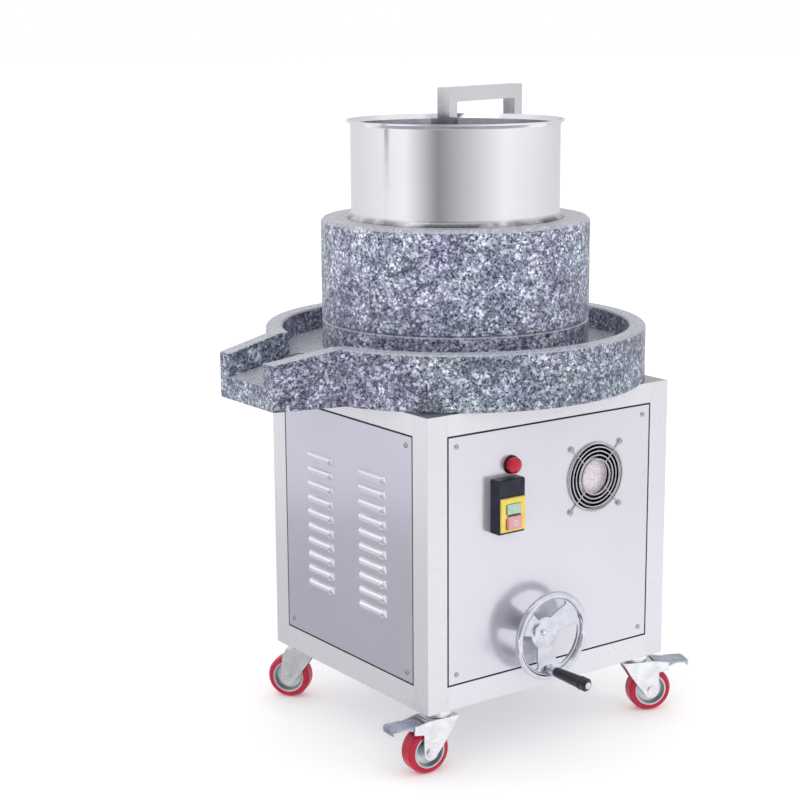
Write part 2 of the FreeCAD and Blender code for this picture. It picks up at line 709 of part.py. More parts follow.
def main_shaft():
    head = RUNNER_FOOT + FURROW_DEPTH + RYND_THICKNESS + SHAFT_HEAD - SOCKET_WALL
    journal = BEARING_BORE
    step = SHAFT_FOOT
    low = step - BEARING_HEIGHT + SOCKET_WALL
    shaft = rod(SHAFT_RADIUS, head - step, Vector(0, 0, step))
    spigot = rod(journal - RUNNING_FIT, step - low, Vector(0, 0, low))
    gearbox_low = PLATE_UNDERSIDE - GEARBOX_FLANGE - GEARBOX_HEIGHT
    key_low = gearbox_low + (GEARBOX_HEIGHT + GEARBOX_FLANGE - KEY_LENGTH) / 2
    key = block(0, SHAFT_RADIUS + KEY_PROUD, -KEY_WIDTH / 2, KEY_WIDTH / 2, key_low, key_low + KEY_LENGTH)
    return joined([shaft, spigot, key])


# ---------------------------------------------------------------------------------------------------------
# Hopper and stirrer arm
# ---------------------------------------------------------------------------------------------------------

def hopper():
    """Rolled sheet cylinder with a flared, hemmed lip and a flared foot that stands on the runner."""
    inner = HOPPER_RADIUS - HOPPER_SHEET
    foot = HOPPER_RADIUS + HOPPER_FOOT_FLARE
    lip = HOPPER_RADIUS + HOPPER_LIP_FLARE
    lip_start = HOPPER_HEIGHT - HOPPER_LIP_HEIGHT
    return turned([
        (inner, 0), (foot, 0), (foot, HOPPER_SHEET), (HOPPER_RADIUS + HOPPER_SHEET, HOPPER_FOOT_HEIGHT * 0.55),
        (HOPPER_RADIUS, HOPPER_FOOT_HEIGHT), (HOPPER_RADIUS, lip_start),
        (lip, HOPPER_HEIGHT - HOPPER_HEM), (lip + HOPPER_SHEET, HOPPER_HEIGHT - HOPPER_HEM),
        (lip + HOPPER_SHEET, HOPPER_HEIGHT), (lip - HOPPER_SHEET, HOPPER_HEIGHT), (inner, lip_start),
    ], Vector(0, 0, RUNNER_TOP))


def in_arm_frame(shape):
    """From the arm's own plane, with the leg at x = 0 and the post at x = ARM_SPAN, to the machine."""
    return moved(rotated(shape, ARM_ANGLE), ARM_LEG_X, ARM_LEG_Y, 0)


def square_tube_z(x, z0, z1):
    half = ARM_TUBE / 2
    bore = half - ARM_WALL
    return block(x - half, x + half, -half, half, z0, z1).cut(block(x - bore, x + bore, -bore, bore, z0, z1))


def across_arm(points, half_depth):
    """A flat outline in the arm's plane, points (along, height), drawn to both sides of that plane."""
    return outline([Vector(x, -half_depth, z) for x, z in points]).extrude(Vector(0, 2 * half_depth, 0))


def mitre_cut(x, sign):
    """Waste above the 45 degree mitre of an upright at x whose outer side faces sign."""
    half = ARM_TUBE / 2
    inner = x - sign * half
    return across_arm([(x + sign * half, ARM_TOP), (inner, ARM_TOP - ARM_TUBE), (inner, ARM_TOP)], ARM_TUBE)


def stirrer_post():
    low = SOCKET_TOP - SOCKET_LENGTH + POST_FOOT_MARGIN
    return in_arm_frame(square_tube_z(ARM_SPAN, low, ARM_TOP).cut(mitre_cut(ARM_SPAN, 1)))


def stirrer_leg():
    low = RUNNER_TOP + ARM_FOOT_GAP
    leg = square_tube_z(0, low, ARM_TOP).cut(mitre_cut(0, -1))
    half = ARM_TUBE / 2
    foot = block(-half, half, -half, half, low, low + ARM_WALL)
    # The wiper blade is welded to the foot and points at the eye.
    to_eye = math.degrees(math.atan2(-ARM_LEG_Y, -ARM_LEG_X)) - ARM_ANGLE
    blade = block(half, half + WIPER_LENGTH, -WIPER_THICKNESS / 2, WIPER_THICKNESS / 2, low, low + WIPER_HEIGHT)
    bridge = block(0, half, -WIPER_THICKNESS / 2, WIPER_THICKNESS / 2, low, low + WIPER_HEIGHT)
    return in_arm_frame(joined([leg, foot, rotated(blade.fuse(bridge), to_eye)]))


def stirrer_crossbar():
    half = ARM_TUBE / 2
    low = ARM_TOP - ARM_TUBE
    bar = across_arm([(-half, ARM_TOP), (ARM_SPAN + half, ARM_TOP), (ARM_SPAN - half, low), (half, low)], half)
    hollow = block(-half, ARM_SPAN + half, ARM_WALL - half, half - ARM_WALL, low + ARM_WALL, ARM_TOP - ARM_WALL)
    return in_arm_frame(bar.cut(hollow))


def arm_socket():
    """Square sleeve on a bracket that is bolted to the rear right post of the cabinet."""
    outer = ARM_TUBE / 2 + SLIDE_FIT + SOCKET_WALL
    inner = ARM_TUBE / 2 + SLIDE_FIT
    low = SOCKET_TOP - SOCKET_LENGTH
    sleeve = block(ARM_SPAN - outer, ARM_SPAN + outer, -outer, outer, low, SOCKET_TOP)
    floor = low + POST_FOOT_MARGIN - FLAT_GAP
    pocket = block(ARM_SPAN - inner, ARM_SPAN + inner, -inner, inner, floor, SOCKET_TOP)
    flange_x = HALF_WIDTH + SOCKET_FLANGE
    flange_y = CABINET_REAR - POST_FACE
    flange = block(HALF_WIDTH, flange_x, flange_y, CABINET_REAR, low, SOCKET_TOP)
    web = block(HALF_WIDTH, ARM_POST_X, CABINET_REAR - 2 * SOCKET_WALL, CABINET_REAR,
                low + SOCKET_WALL, SOCKET_TOP - SOCKET_WALL)
    body = joined([in_arm_frame(sleeve), flange, web]).cut(in_arm_frame(pocket))
    for x, y, z in socket_bolt_places():
        body = body.cut(rod(SOCKET_BOLT_RADIUS + HOLE_PLAY, SOCKET_FLANGE, Vector(x, y, z), RIGHT))
    screw = in_arm_frame(rod(SOCKET_BOLT_RADIUS + HOLE_PLAY, SOCKET_WALL + SLIDE_FIT,
                             clamp_screw_start(), BACK))
    return body.cut(screw).removeSplitter()


def socket_bolt_places():
    y = CABINET_REAR - POST_FACE + SOCKET_BOLT_INSET
    middle = SOCKET_TOP - SOCKET_LENGTH / 2
    return [(HALF_WIDTH, y, middle + s * SOCKET_BOLT_SPACING / 2) for s in (-1, 1)]


def clamp_screw_start():
    return Vector(ARM_SPAN, -ARM_TUBE / 2 - SLIDE_FIT - SOCKET_WALL, SOCKET_TOP - SOCKET_LENGTH / 2)


def socket_bolts():
    bolts = []
    head = 1.6 * SOCKET_BOLT_RADIUS
    for x, y, z in socket_bolt_places():
        start = Vector(x + SOCKET_FLANGE, y, z)
        bolt = hexagon(2 * SOCKET_BOLT_RADIUS, head, start, RIGHT)
        bolts.append(bolt.fuse(rod(SOCKET_BOLT_RADIUS, SOCKET_FLANGE + SHEET + head, start, -RIGHT)))
    start = clamp_screw_start()
    screw = hexagon(2 * SOCKET_BOLT_RADIUS, head, start, FORWARD)
    screw = screw.fuse(rod(SOCKET_BOLT_RADIUS, SOCKET_WALL + SLIDE_FIT / 2, start, BACK))
    bolts.append(in_arm_frame(screw))
    return bolts


# ---------------------------------------------------------------------------------------------------------
# Gearmotor
# ---------------------------------------------------------------------------------------------------------

MOTOR_Z = PLATE_UNDERSIDE - MOTOR_DROP
MOTOR_START_X = GEARBOX_HALF_LENGTH + MOTOR_FLANGE
MOTOR_END_X = MOTOR_START_X + MOTOR_LENGTH


def gearbox_housing():
    """Closed worm gearbox with a hollow output, hung from the top plate by its flange."""
    top = PLATE_UNDERSIDE
    flange = rod(GEARBOX_FLANGE_RADIUS, GEARBOX_FLANGE, Vector(0, 0, top - GEARBOX_FLANGE))
    low = top - GEARBOX_FLANGE - GEARBOX_HEIGHT
    worm_z = MOTOR_Z
    drum = rod(GEARBOX_FRONT, GEARBOX_HEIGHT, Vector(0, 0, low))
    worm_case = rod(GEARBOX_HALF_LENGTH * 0.62, 2 * GEARBOX_HALF_LENGTH,
                    Vector(-GEARBOX_HALF_LENGTH, WORM_OFFSET, worm_z), RIGHT)
    bridge = block(-GEARBOX_HALF_LENGTH * 0.8, GEARBOX_HALF_LENGTH * 0.8, 0, WORM_OFFSET,
                   worm_z - GEARBOX_HALF_LENGTH * 0.55, worm_z + GEARBOX_HALF_LENGTH * 0.55)
    input_flange = rod(MOTOR_RADIUS, MOTOR_FLANGE, Vector(GEARBOX_HALF_LENGTH, WORM_OFFSET, worm_z), RIGHT)
    body = joined([flange, drum, worm_case, bridge, input_flange])
    bore = rod(SLEEVE_RADIUS + RUNNING_FIT, GEARBOX_HEIGHT + GEARBOX_FLANGE, Vector(0, 0, low))
    return body.cut(bore).removeSplitter()


def output_sleeve():
    """Hollow output shaft of the gearbox with its keyway, held by a lip below the housing."""
    low = PLATE_UNDERSIDE - GEARBOX_FLANGE - GEARBOX_HEIGHT
    length = GEARBOX_FLANGE + GEARBOX_HEIGHT - FLAT_GAP + SLEEVE_STAND_OUT
    start = Vector(0, 0, low - SLEEVE_STAND_OUT)
    sleeve = rod(SLEEVE_RADIUS, length, start)
    lip = rod(SLEEVE_RADIUS + SLEEVE_LIP, SLEEVE_STAND_OUT - FLAT_GAP, start)
    bore = rod(SHAFT_RADIUS + RUNNING_FIT, length, start)
    half_key = KEY_WIDTH / 2 + RUNNING_FIT
    keyway = block(0, SHAFT_RADIUS + KEY_PROUD + HOLE_PLAY, -half_key, half_key, start.z, start.z + length)
    return sleeve.fuse(lip).cut(bore).cut(keyway).removeSplitter()


def motor_body():
    """Finned motor case with its terminal box on top."""
    start = Vector(MOTOR_START_X, WORM_OFFSET, MOTOR_Z)
    case = rod(MOTOR_RADIUS - MOTOR_FIN, MOTOR_LENGTH, start, RIGHT)
    parts = [case]
    for k in range(MOTOR_FINS):
        fin = block(MOTOR_START_X, MOTOR_END_X, WORM_OFFSET + MOTOR_RADIUS - 2 * MOTOR_FIN,
                    WORM_OFFSET + MOTOR_RADIUS, MOTOR_Z - MOTOR_FIN_WIDTH / 2, MOTOR_Z + MOTOR_FIN_WIDTH / 2)
        parts.append(rotated(fin, k * 360.0 / MOTOR_FINS, RIGHT, start))
    end_ring = rod(MOTOR_RADIUS, MOTOR_FLANGE, start, RIGHT)
    parts.append(end_ring)
    box_x = MOTOR_START_X + (MOTOR_LENGTH - TERMINAL_BOX) / 2
    floor = MOTOR_Z - MOTOR_RADIUS - TERMINAL_BOX_HEIGHT + MOTOR_FIN
    parts.append(block(box_x, box_x + TERMINAL_BOX, WORM_OFFSET - TERMINAL_BOX / 2,
                       WORM_OFFSET + TERMINAL_BOX / 2, floor, MOTOR_Z - MOTOR_RADIUS + 3 * MOTOR_FIN))
    body = joined(parts)
    return body.cut(rod(MOTOR_FLANGE, MOTOR_LENGTH, start, RIGHT))


def motor_cowl():
    """Sheet cowl over the motor's own fan, with a ring of air slots in its end."""
    start = Vector(MOTOR_END_X, WORM_OFFSET, MOTOR_Z)
    outer = MOTOR_RADIUS
    inner = MOTOR_RADIUS - COWL_SHEET
    cowl = turned([(inner, 0), (outer, 0), (outer, COWL_LENGTH - 2 * MOTOR_FIN),
                   (outer - 2 * MOTOR_FIN, COWL_LENGTH), (0, COWL_LENGTH), (0, COWL_LENGTH - COWL_SHEET),
                   (inner - 2 * MOTOR_FIN, COWL_LENGTH - COWL_SHEET),
                   (inner, COWL_LENGTH - 2 * MOTOR_FIN - COWL_SHEET)], start, RIGHT)
    slots = []
    end_x = MOTOR_END_X + COWL_LENGTH - COWL_SHEET
    for k in range(8):
        slot = block(end_x, end_x + COWL_SHEET,
                     WORM_OFFSET + 2 * MOTOR_FLANGE, WORM_OFFSET + 4.4 * MOTOR_FLANGE,
                     MOTOR_Z - MOTOR_FIN, MOTOR_Z + MOTOR_FIN)
        slots.append(rotated(slot, k * 45.0, RIGHT, start))
    return cowl.cut(slots)


def motor_rotor():
    """Rotor shaft of the motor with its radial cooling fan, from the worm's end to the cowl."""
    radius = MOTOR_FLANGE - RUNNING_FIT
    start = Vector(MOTOR_START_X + FLAT_GAP, WORM_OFFSET, MOTOR_Z)
    shaft = rod(radius, MOTOR_LENGTH + COWL_LENGTH / 2 - FLAT_GAP, start, RIGHT)
    hub_x = MOTOR_END_X + 3 * COWL_SHEET
    hub = rod(2 * MOTOR_FLANGE, COWL_LENGTH / 3, Vector(hub_x, WORM_OFFSET, MOTOR_Z), RIGHT)
    parts = [shaft, hub]
    reach = MOTOR_RADIUS - 3 * MOTOR_FIN
    centre = Vector(hub_x, WORM_OFFSET, MOTOR_Z)
    for k in range(6):
        blade = block(hub_x, hub_x + COWL_LENGTH / 2, WORM_OFFSET + MOTOR_FLANGE, WORM_OFFSET + reach,
                      MOTOR_Z - COWL_SHEET, MOTOR_Z + COWL_SHEET)
        parts.append(rotated(blade, k * 60.0, RIGHT, centre))
    return joined(parts)


# ---------------------------------------------------------------------------------------------------------
# Screw jack and handwheel
# ---------------------------------------------------------------------------------------------------------

def jack_housing():
    """Closed worm screw jack: square body on a bolted flange, with bosses for the input shaft."""
    half = JACK_BODY / 2
    low = BASE_TOP
    flange = block(-JACK_FLANGE / 2, JACK_FLANGE / 2, -JACK_FLANGE / 2, JACK_FLANGE / 2,
                   low, low + JACK_FLANGE_THICKNESS)
    body = block(-half, half, -half, half, low, JACK_TOP - 2 * SOCKET_WALL)
    upright = [e for e in body.Edges if abs(e.Vertexes[0].Z - e.Vertexes[1].Z) > half]
    body = body.makeFillet(2 * SOCKET_WALL, upright)
    neck = rod(half * 0.8, JACK_TOP - low, Vector(0, 0, low))
    boss = rod(2 * WHEEL_SHAFT_RADIUS, half + 2 * SOCKET_WALL, Vector(SPINDLE_X, 0, SPINDLE_Z), FORWARD)
    housing = joined([flange, body, neck, boss])
    housing = housing.cut(rod(LIFT_SCREW_RADIUS + RUNNING_FIT, JACK_TOP - low - JACK_FLANGE_THICKNESS,
                              Vector(0, 0, low + JACK_FLANGE_THICKNESS)))
    housing = housing.cut(rod(WHEEL_SHAFT_RADIUS + RUNNING_FIT, half + 3 * SOCKET_WALL,
                              Vector(SPINDLE_X, -half + 3 * SOCKET_WALL, SPINDLE_Z), FORWARD))
    return housing.removeSplitter()


CUP_FOOT = JACK_TOP + FLAT_GAP
CUP_FLOOR = CUP_FOOT + LIFT_CUP_HEIGHT - BEARING_HEIGHT


def lift_screw():
    """Lifting screw of the jack with the cup that holds the thrust bearing under the main shaft."""
    low = BASE_TOP + JACK_FLANGE_THICKNESS + 3 * SOCKET_WALL
    screw = rod(LIFT_SCREW_RADIUS, CUP_FOOT - low, Vector(0, 0, low))
    cup = turned([(0, 0), (LIFT_CUP_RADIUS - SOCKET_WALL, 0), (LIFT_CUP_RADIUS, SOCKET_WALL),
                  (LIFT_CUP_RADIUS, LIFT_CUP_HEIGHT), (BEARING_RADIUS, LIFT_CUP_HEIGHT),
                  (BEARING_RADIUS, LIFT_CUP_HEIGHT - BEARING_HEIGHT),
                  (0, LIFT_CUP_HEIGHT - BEARING_HEIGHT)], Vector(0, 0, CUP_FOOT))
    return screw.fuse(cup).removeSplitter()


def thrust_bearing():
    """Thrust bearing with its raceway groove, seated in the cup."""
    height = SHAFT_FOOT - FLAT_GAP - CUP_FLOOR
    bore = BEARING_BORE
    groove = height * 0.3
    return turned([(bore, 0), (BEARING_RADIUS - HOLE_PLAY, 0), (BEARING_RADIUS - HOLE_PLAY, groove),
                   (BEARING_RADIUS - 2 * WHEEL_WEB, groove), (BEARING_RADIUS - 2 * WHEEL_WEB, height - groove),
                   (BEARING_RADIUS - HOLE_PLAY, height - groove), (BEARING_RADIUS - HOLE_PLAY, height),
                   (bore, height)], Vector(0, 0, CUP_FLOOR))


HUB_BACK_Y = PANEL_FACE_Y - WHEEL_PANEL_GAP
HUB_FACE_Y = PANEL_FACE_Y - WHEEL_HUB_FACE
RIM_Y = PANEL_FACE_Y - WHEEL_STAND_OFF


def window_plan(angle):
    """Outline of one opening in the wheel's web, between two arms, in the plane across the axis."""
    half = math.radians(WHEEL_WINDOW_ANGLE / 2)
    middle = math.radians(angle)
    outer = WHEEL_RIM_RADIUS - WHEEL_RIM_SECTION - WHEEL_WINDOW_MARGIN
    inner = WHEEL_WINDOW_INNER

    def at(radius, turn):
        return Vector(radius * math.cos(turn), 0, radius * math.sin(turn))

    corner = math.radians(WHEEL_WINDOW_CORNER)
    low_left, low_right = middle - half * 0.72, middle + half * 0.72
    edges = [
        Part.Arc(at(outer, middle - half + corner), at(outer, middle),
                 at(outer, middle + half - corner)).toShape(),
        Part.Arc(at(outer, middle + half - corner), at(outer * 0.96, middle + half - corner * 0.2),
                 at(outer * 0.88, middle + half)).toShape(),
        Part.makeLine(at(outer * 0.88, middle + half), at(inner, low_right)),
        Part.Arc(at(inner, low_right), at(inner, middle), at(inner, low_left)).toShape(),
        Part.makeLine(at(inner, low_left), at(outer * 0.88, middle - half)),
        Part.Arc(at(outer * 0.88, middle - half), at(outer * 0.96, middle - half + corner * 0.2),
                 at(outer, middle - half + corner)).toShape(),
    ]
    return Part.Face(Part.Wire(edges))


def handwheel():
    """Dished chrome wheel: round rim, three-armed web with rounded openings, hub and crank spindle."""
    depth = WHEEL_STAND_OFF - WHEEL_HUB_FACE
    hub_length = WHEEL_HUB_FACE - WHEEL_PANEL_GAP
    start = Vector(SPINDLE_X, HUB_BACK_Y, SPINDLE_Z)
    base = hub_length - WHEEL_WEB
    rise = depth + WHEEL_WEB / 2
    knee = WHEEL_RIM_RADIUS * 0.68
    knee_rise = base + rise * 0.4
    web_points = [(0, base), (WHEEL_HUB_RADIUS, base), (knee, knee_rise),
                  (WHEEL_RIM_RADIUS, base + rise - WHEEL_WEB / 2),
                  (WHEEL_RIM_RADIUS, base + rise + WHEEL_WEB / 2),
                  (knee, knee_rise + WHEEL_WEB), (WHEEL_HUB_RADIUS, base + WHEEL_WEB), (0, base + WHEEL_WEB)]
    web = turned(web_points, start, FORWARD)
    for k in range(WHEEL_ARMS):
        plan = window_plan(90.0 + k * 360.0 / WHEEL_ARMS)
        cutter = moved(plan.extrude(Vector(0, -2 * WHEEL_STAND_OFF, 0)), SPINDLE_X, HUB_BACK_Y, SPINDLE_Z)
        web = web.cut(cutter)
    hub = rod(WHEEL_HUB_RADIUS, hub_length, start, FORWARD)
    rim = Part.makeTorus(WHEEL_RIM_RADIUS, WHEEL_RIM_SECTION, Vector(SPINDLE_X, RIM_Y, SPINDLE_Z), BACK)
    seat = Vector(SPINDLE_X, RIM_Y + WHEEL_RIM_SECTION / 2, SPINDLE_Z - CRANK_RADIUS)
    boss = rod(FERRULE_RADIUS + CRANK_SPINDLE_RADIUS / 2, WHEEL_RIM_SECTION, seat, FORWARD)
    face = seat + FORWARD * WHEEL_RIM_SECTION
    waist = FERRULE_RADIUS - FERRULE_GROOVE
    groove_low = (FERRULE_LENGTH - FERRULE_GROOVE) / 2
    groove_high = groove_low + FERRULE_GROOVE
    ferrule = turned([(0, 0), (FERRULE_RADIUS, 0), (FERRULE_RADIUS, groove_low - FERRULE_GROOVE),
                      (waist, groove_low), (waist, groove_high), (FERRULE_RADIUS, groove_high + FERRULE_GROOVE),
                      (FERRULE_RADIUS, FERRULE_LENGTH), (0, FERRULE_LENGTH)], face, FORWARD)
    spindle = rod(CRANK_SPINDLE_RADIUS, FERRULE_LENGTH + FLAT_GAP + GRIP_LENGTH, face, FORWARD)
    tip = face + FORWARD * (FERRULE_LENGTH + 2 * FLAT_GAP + GRIP_LENGTH)
    screw = rod(GRIP_SCREW_RADIUS, GRIP_SCREW_HEAD, tip, FORWARD)
    neck = rod(CRANK_SPINDLE_RADIUS, 2 * FLAT_GAP, tip + BACK * 2 * FLAT_GAP, FORWARD)
    wheel = joined([web, hub, rim, boss, ferrule, spindle, neck, screw])
    bore = rod(WHEEL_SHAFT_RADIUS, hub_length - WHEEL_WEB / 2, start, FORWARD)
    return wheel.cut(bore)


def grip_start():
    seat_y = RIM_Y + WHEEL_RIM_SECTION / 2 - WHEEL_RIM_SECTION
    return Vector(SPINDLE_X, seat_y - FERRULE_LENGTH - FLAT_GAP, SPINDLE_Z - CRANK_RADIUS)


def crank_grip():
    """Tapered grip that turns freely on the spindle: it swells towards its end and is ribbed before it."""
    bore = CRANK_SPINDLE_RADIUS + RUNNING_FIT
    shoulder = GRIP_LENGTH - GRIP_END_ROUND
    ribs_end = GRIP_LENGTH * 0.9
    ribs_start = ribs_end - GRIP_RIBS * GRIP_RIB_PITCH
    profile = [(bore, 0), (GRIP_ROOT_RADIUS, 0), (GRIP_ROOT_RADIUS + GRIP_ROOT_ROUND, GRIP_ROOT_ROUND),
               (GRIP_END_RADIUS - GRIP_RIB_DEPTH, ribs_start)]
    for k in range(GRIP_RIBS):
        low = ribs_start + k * GRIP_RIB_PITCH
        profile += [(GRIP_END_RADIUS, low + GRIP_RIB_PITCH / 2),
                    (GRIP_END_RADIUS - GRIP_RIB_DEPTH, low + GRIP_RIB_PITCH)]
    profile += [(GRIP_END_RADIUS, shoulder), (GRIP_END_RADIUS - GRIP_END_ROUND, GRIP_LENGTH),
                (bore, GRIP_LENGTH)]
    return turned(profile, grip_start(), FORWARD)


def handwheel_shaft():
    front = HUB_FACE_Y + WHEEL_WEB / 2
    rear = -JACK_BODY / 2 + 2 * SOCKET_WALL
    return rod(WHEEL_SHAFT_RADIUS, rear - front, Vector(SPINDLE_X, front, SPINDLE_Z), BACK)


def shaft_bearing():
    """Flanged bearing for the handwheel shaft behind the front panel."""
    start = Vector(SPINDLE_X, PANEL_FACE_Y + SHEET, SPINDLE_Z)
    body = rod(SHAFT_FLANGE_RADIUS, SHAFT_FLANGE_THICKNESS, start, BACK)
    body = body.fuse(rod(SHAFT_BOSS_RADIUS, SHAFT_BOSS_LENGTH, start, BACK))
    return body.cut(rod(WHEEL_SHAFT_RADIUS + RUNNING_FIT, SHAFT_BOSS_LENGTH, start, BACK)).removeSplitter()


# ---------------------------------------------------------------------------------------------------------
# Controls
# ---------------------------------------------------------------------------------------------------------

COLLAR_Z = SWITCH_Z - COLLAR_DROP
SWITCH_FACE_Y = PANEL_FACE_Y - SWITCH_PROUD
COLLAR_FACE_Y = SWITCH_FACE_Y - COLLAR_PROUD
BUTTON_STACK = START_BUTTON_HEIGHT + STOP_BUTTON_HEIGHT + BUTTON_SPACE
STOP_Z = COLLAR_Z - COLLAR_TOP_WALL / 2 - BUTTON_STACK / 2 + STOP_BUTTON_HEIGHT / 2
START_Z = STOP_Z + STOP_BUTTON_HEIGHT / 2 + BUTTON_SPACE + START_BUTTON_HEIGHT / 2


def window(height, middle_z, grow, y0, y1):
    half = BUTTON_WIDTH / 2 + grow
    half_height = height / 2 + grow
    return block(SWITCH_X - half, SWITCH_X + half, y0, y1, middle_z - half_height, middle_z + half_height)


def switch_housing():
    """Moulded switch body: a rounded box on the panel and its coil body behind."""
    half_w = SWITCH_WIDTH / 2
    half_h = SWITCH_HEIGHT / 2
    cover = block(SWITCH_X - half_w, SWITCH_X + half_w, SWITCH_FACE_Y, PANEL_FACE_Y,
                  SWITCH_Z - half_h, SWITCH_Z + half_h)
    rounded = [e for e in cover.Edges if not on_panel(e)]
    cover = cover.makeFillet(SWITCH_EDGE_ROUND, rounded)
    coil = block(SWITCH_X - SWITCH_BODY_WIDTH / 2, SWITCH_X + SWITCH_BODY_WIDTH / 2,
                 PANEL_FACE_Y, PANEL_FACE_Y + SWITCH_BODY_DEPTH,
                 SWITCH_Z - SWITCH_BODY_HEIGHT / 2, SWITCH_Z + SWITCH_BODY_HEIGHT / 2)
    body = cover.fuse(coil)
    well_back = COLLAR_FACE_Y + COLLAR_PROUD + BUTTON_LENGTH + BUTTON_TRAVEL
    for height, middle in ((START_BUTTON_HEIGHT, START_Z), (STOP_BUTTON_HEIGHT, STOP_Z)):
        body = body.cut(window(height, middle, BUTTON_PLAY, SWITCH_FACE_Y - SWITCH_PROUD, well_back))
    return body.removeSplitter()


def on_panel(edge):
    return all(abs(v.Y - PANEL_FACE_Y) < 1e-6 for v in edge.Vertexes)


def switch_collar():
    """Yellow raised frame round the two buttons."""
    half_w = COLLAR_WIDTH / 2
    half_h = COLLAR_HEIGHT / 2
    collar = block(SWITCH_X - half_w, SWITCH_X + half_w, COLLAR_FACE_Y, SWITCH_FACE_Y,
                   COLLAR_Z - half_h, COLLAR_Z + half_h)
    outer = [e for e in collar.Edges if all(abs(v.Y - COLLAR_FACE_Y) < 1e-6 for v in e.Vertexes)]
    collar = collar.makeChamfer(BUTTON_ROUND, outer)
    middle = (START_Z + START_BUTTON_HEIGHT / 2 + STOP_Z - STOP_BUTTON_HEIGHT / 2) / 2
    opening = window(BUTTON_STACK, middle, 2 * BUTTON_PLAY, COLLAR_FACE_Y, SWITCH_FACE_Y)
    # The wells are sunk beside the upper button from its top edge, and beside the lower part of the lower one.
    well_x = SWITCH_X - BUTTON_WIDTH / 2
    parting = STOP_Z + STOP_BUTTON_HEIGHT / 2
    start_top = START_Z + START_BUTTON_HEIGHT / 2
    stop_foot = STOP_Z - STOP_BUTTON_HEIGHT / 2
    wells = [block(well_x - COLLAR_WELL, well_x, COLLAR_FACE_Y, SWITCH_FACE_Y - COLLAR_WELL_FLOOR, low, high)
             for low, high in ((parting + COLLAR_TAB / 2, start_top), (stop_foot, parting - COLLAR_TAB / 2))]
    return collar.cut([opening, *wells])


def push_button(height, middle, proud):
    front = COLLAR_FACE_Y - proud
    back = COLLAR_FACE_Y + COLLAR_PROUD + BUTTON_LENGTH
    button = window(height, middle, 0.0, front, back)
    face = [e for e in button.Edges if all(abs(v.Y - front) < 1e-6 for v in e.Vertexes)]
    return button.makeFillet(BUTTON_ROUND, face)


def lamp_bezel():
    start = Vector(LAMP_X, PANEL_FACE_Y, LAMP_Z)
    body = turned([(0, -LAMP_BODY_LENGTH), (LAMP_BODY_RADIUS, -LAMP_BODY_LENGTH), (LAMP_BODY_RADIUS, 0),
                   (LAMP_BEZEL_RADIUS, 0), (LAMP_BEZEL_RADIUS, LAMP_BEZEL * 0.6),
                   (LAMP_BEZEL_RADIUS - LAMP_BEZEL_BEVEL, LAMP_BEZEL), (LAMP_LENS_RADIUS, LAMP_BEZEL),
                   (LAMP_LENS_RADIUS, LAMP_BEZEL / 2), (0, LAMP_BEZEL / 2)], start, FORWARD)
    nut_start = start + BACK * SHEET
    nut = hexagon(LAMP_NUT_RADIUS, LAMP_NUT, nut_start, BACK)
    return body.fuse(nut).removeSplitter()


def lamp_lens():
    """Lens cap with a straight side and a low dome, seated in the bezel."""
    radius = LAMP_LENS_RADIUS - RUNNING_FIT
    side = LAMP_BEZEL / 2 + LAMP_LENS_STAND
    ball = (radius ** 2 + LAMP_DOME ** 2) / (2 * LAMP_DOME)
    half_way = math.asin(radius / ball) / 2
    middle = Vector(0, 0, 0)
    rim = Vector(radius, 0, 0)
    shoulder = Vector(radius, 0, side)
    between = Vector(ball * math.sin(half_way), 0, side + LAMP_DOME - ball * (1 - math.cos(half_way)))
    apex = Vector(0, 0, side + LAMP_DOME)
    edges = [Part.makeLine(middle, rim), Part.makeLine(rim, shoulder),
             Part.Arc(shoulder, between, apex).toShape(), Part.makeLine(apex, middle)]
    seat = Vector(LAMP_X, PANEL_FACE_Y - LAMP_BEZEL / 2, LAMP_Z)
    return spun(Part.Face(Part.Wire(edges)), seat, FORWARD)


# ---------------------------------------------------------------------------------------------------------
# Fan
# ---------------------------------------------------------------------------------------------------------

FAN_FRONT_Y = PANEL_FACE_Y + SHEET


def fan_screw_places():
    half = FAN_HOLE_SPACING / 2
    return [(FAN_X + sx * half, FAN_Z + sz * half) for sx in (-1, 1) for sz in (-1, 1)]


def fan_housing():
    """Square fan frame with its round duct, rear motor plate and struts."""
    half = FAN_FRAME / 2
    frame = block(FAN_X - half, FAN_X + half, FAN_FRONT_Y, FAN_FRONT_Y + FAN_DEPTH, FAN_Z - half, FAN_Z + half)
    along = [e for e in frame.Edges if abs(e.Vertexes[0].Y - e.Vertexes[1].Y) > SHEET]
    frame = frame.makeFillet(2 * SHEET, along)
    start = Vector(FAN_X, FAN_FRONT_Y, FAN_Z)
    frame = frame.cut(rod(FAN_DUCT_RADIUS, FAN_DEPTH, start, BACK))
    plate_y = FAN_FRONT_Y + FAN_DEPTH - FAN_STATOR_DEPTH
    centre = Vector(FAN_X, plate_y, FAN_Z)
    parts = [frame, rod(FAN_HUB_RADIUS, FAN_STATOR_DEPTH, centre, BACK)]
    for k in range(4):
        strut = block(FAN_X, FAN_X + FAN_DUCT_RADIUS + SHEET, plate_y, plate_y + FAN_STATOR_DEPTH,
                      FAN_Z - FAN_STRUT_WIDTH / 2, FAN_Z + FAN_STRUT_WIDTH / 2)
        parts.append(rotated(strut, 45.0 + 90.0 * k, BACK, centre))
    pin = rod(CRANK_SPINDLE_RADIUS, FAN_HUB_DEPTH - FAN_STATOR_DEPTH, centre, FORWARD)
    body = joined(parts + [pin])
    for x, z in fan_screw_places():
        body = body.cut(rod(FAN_HOLE_RADIUS, FAN_DEPTH, Vector(x, FAN_FRONT_Y, z), BACK))
    return body


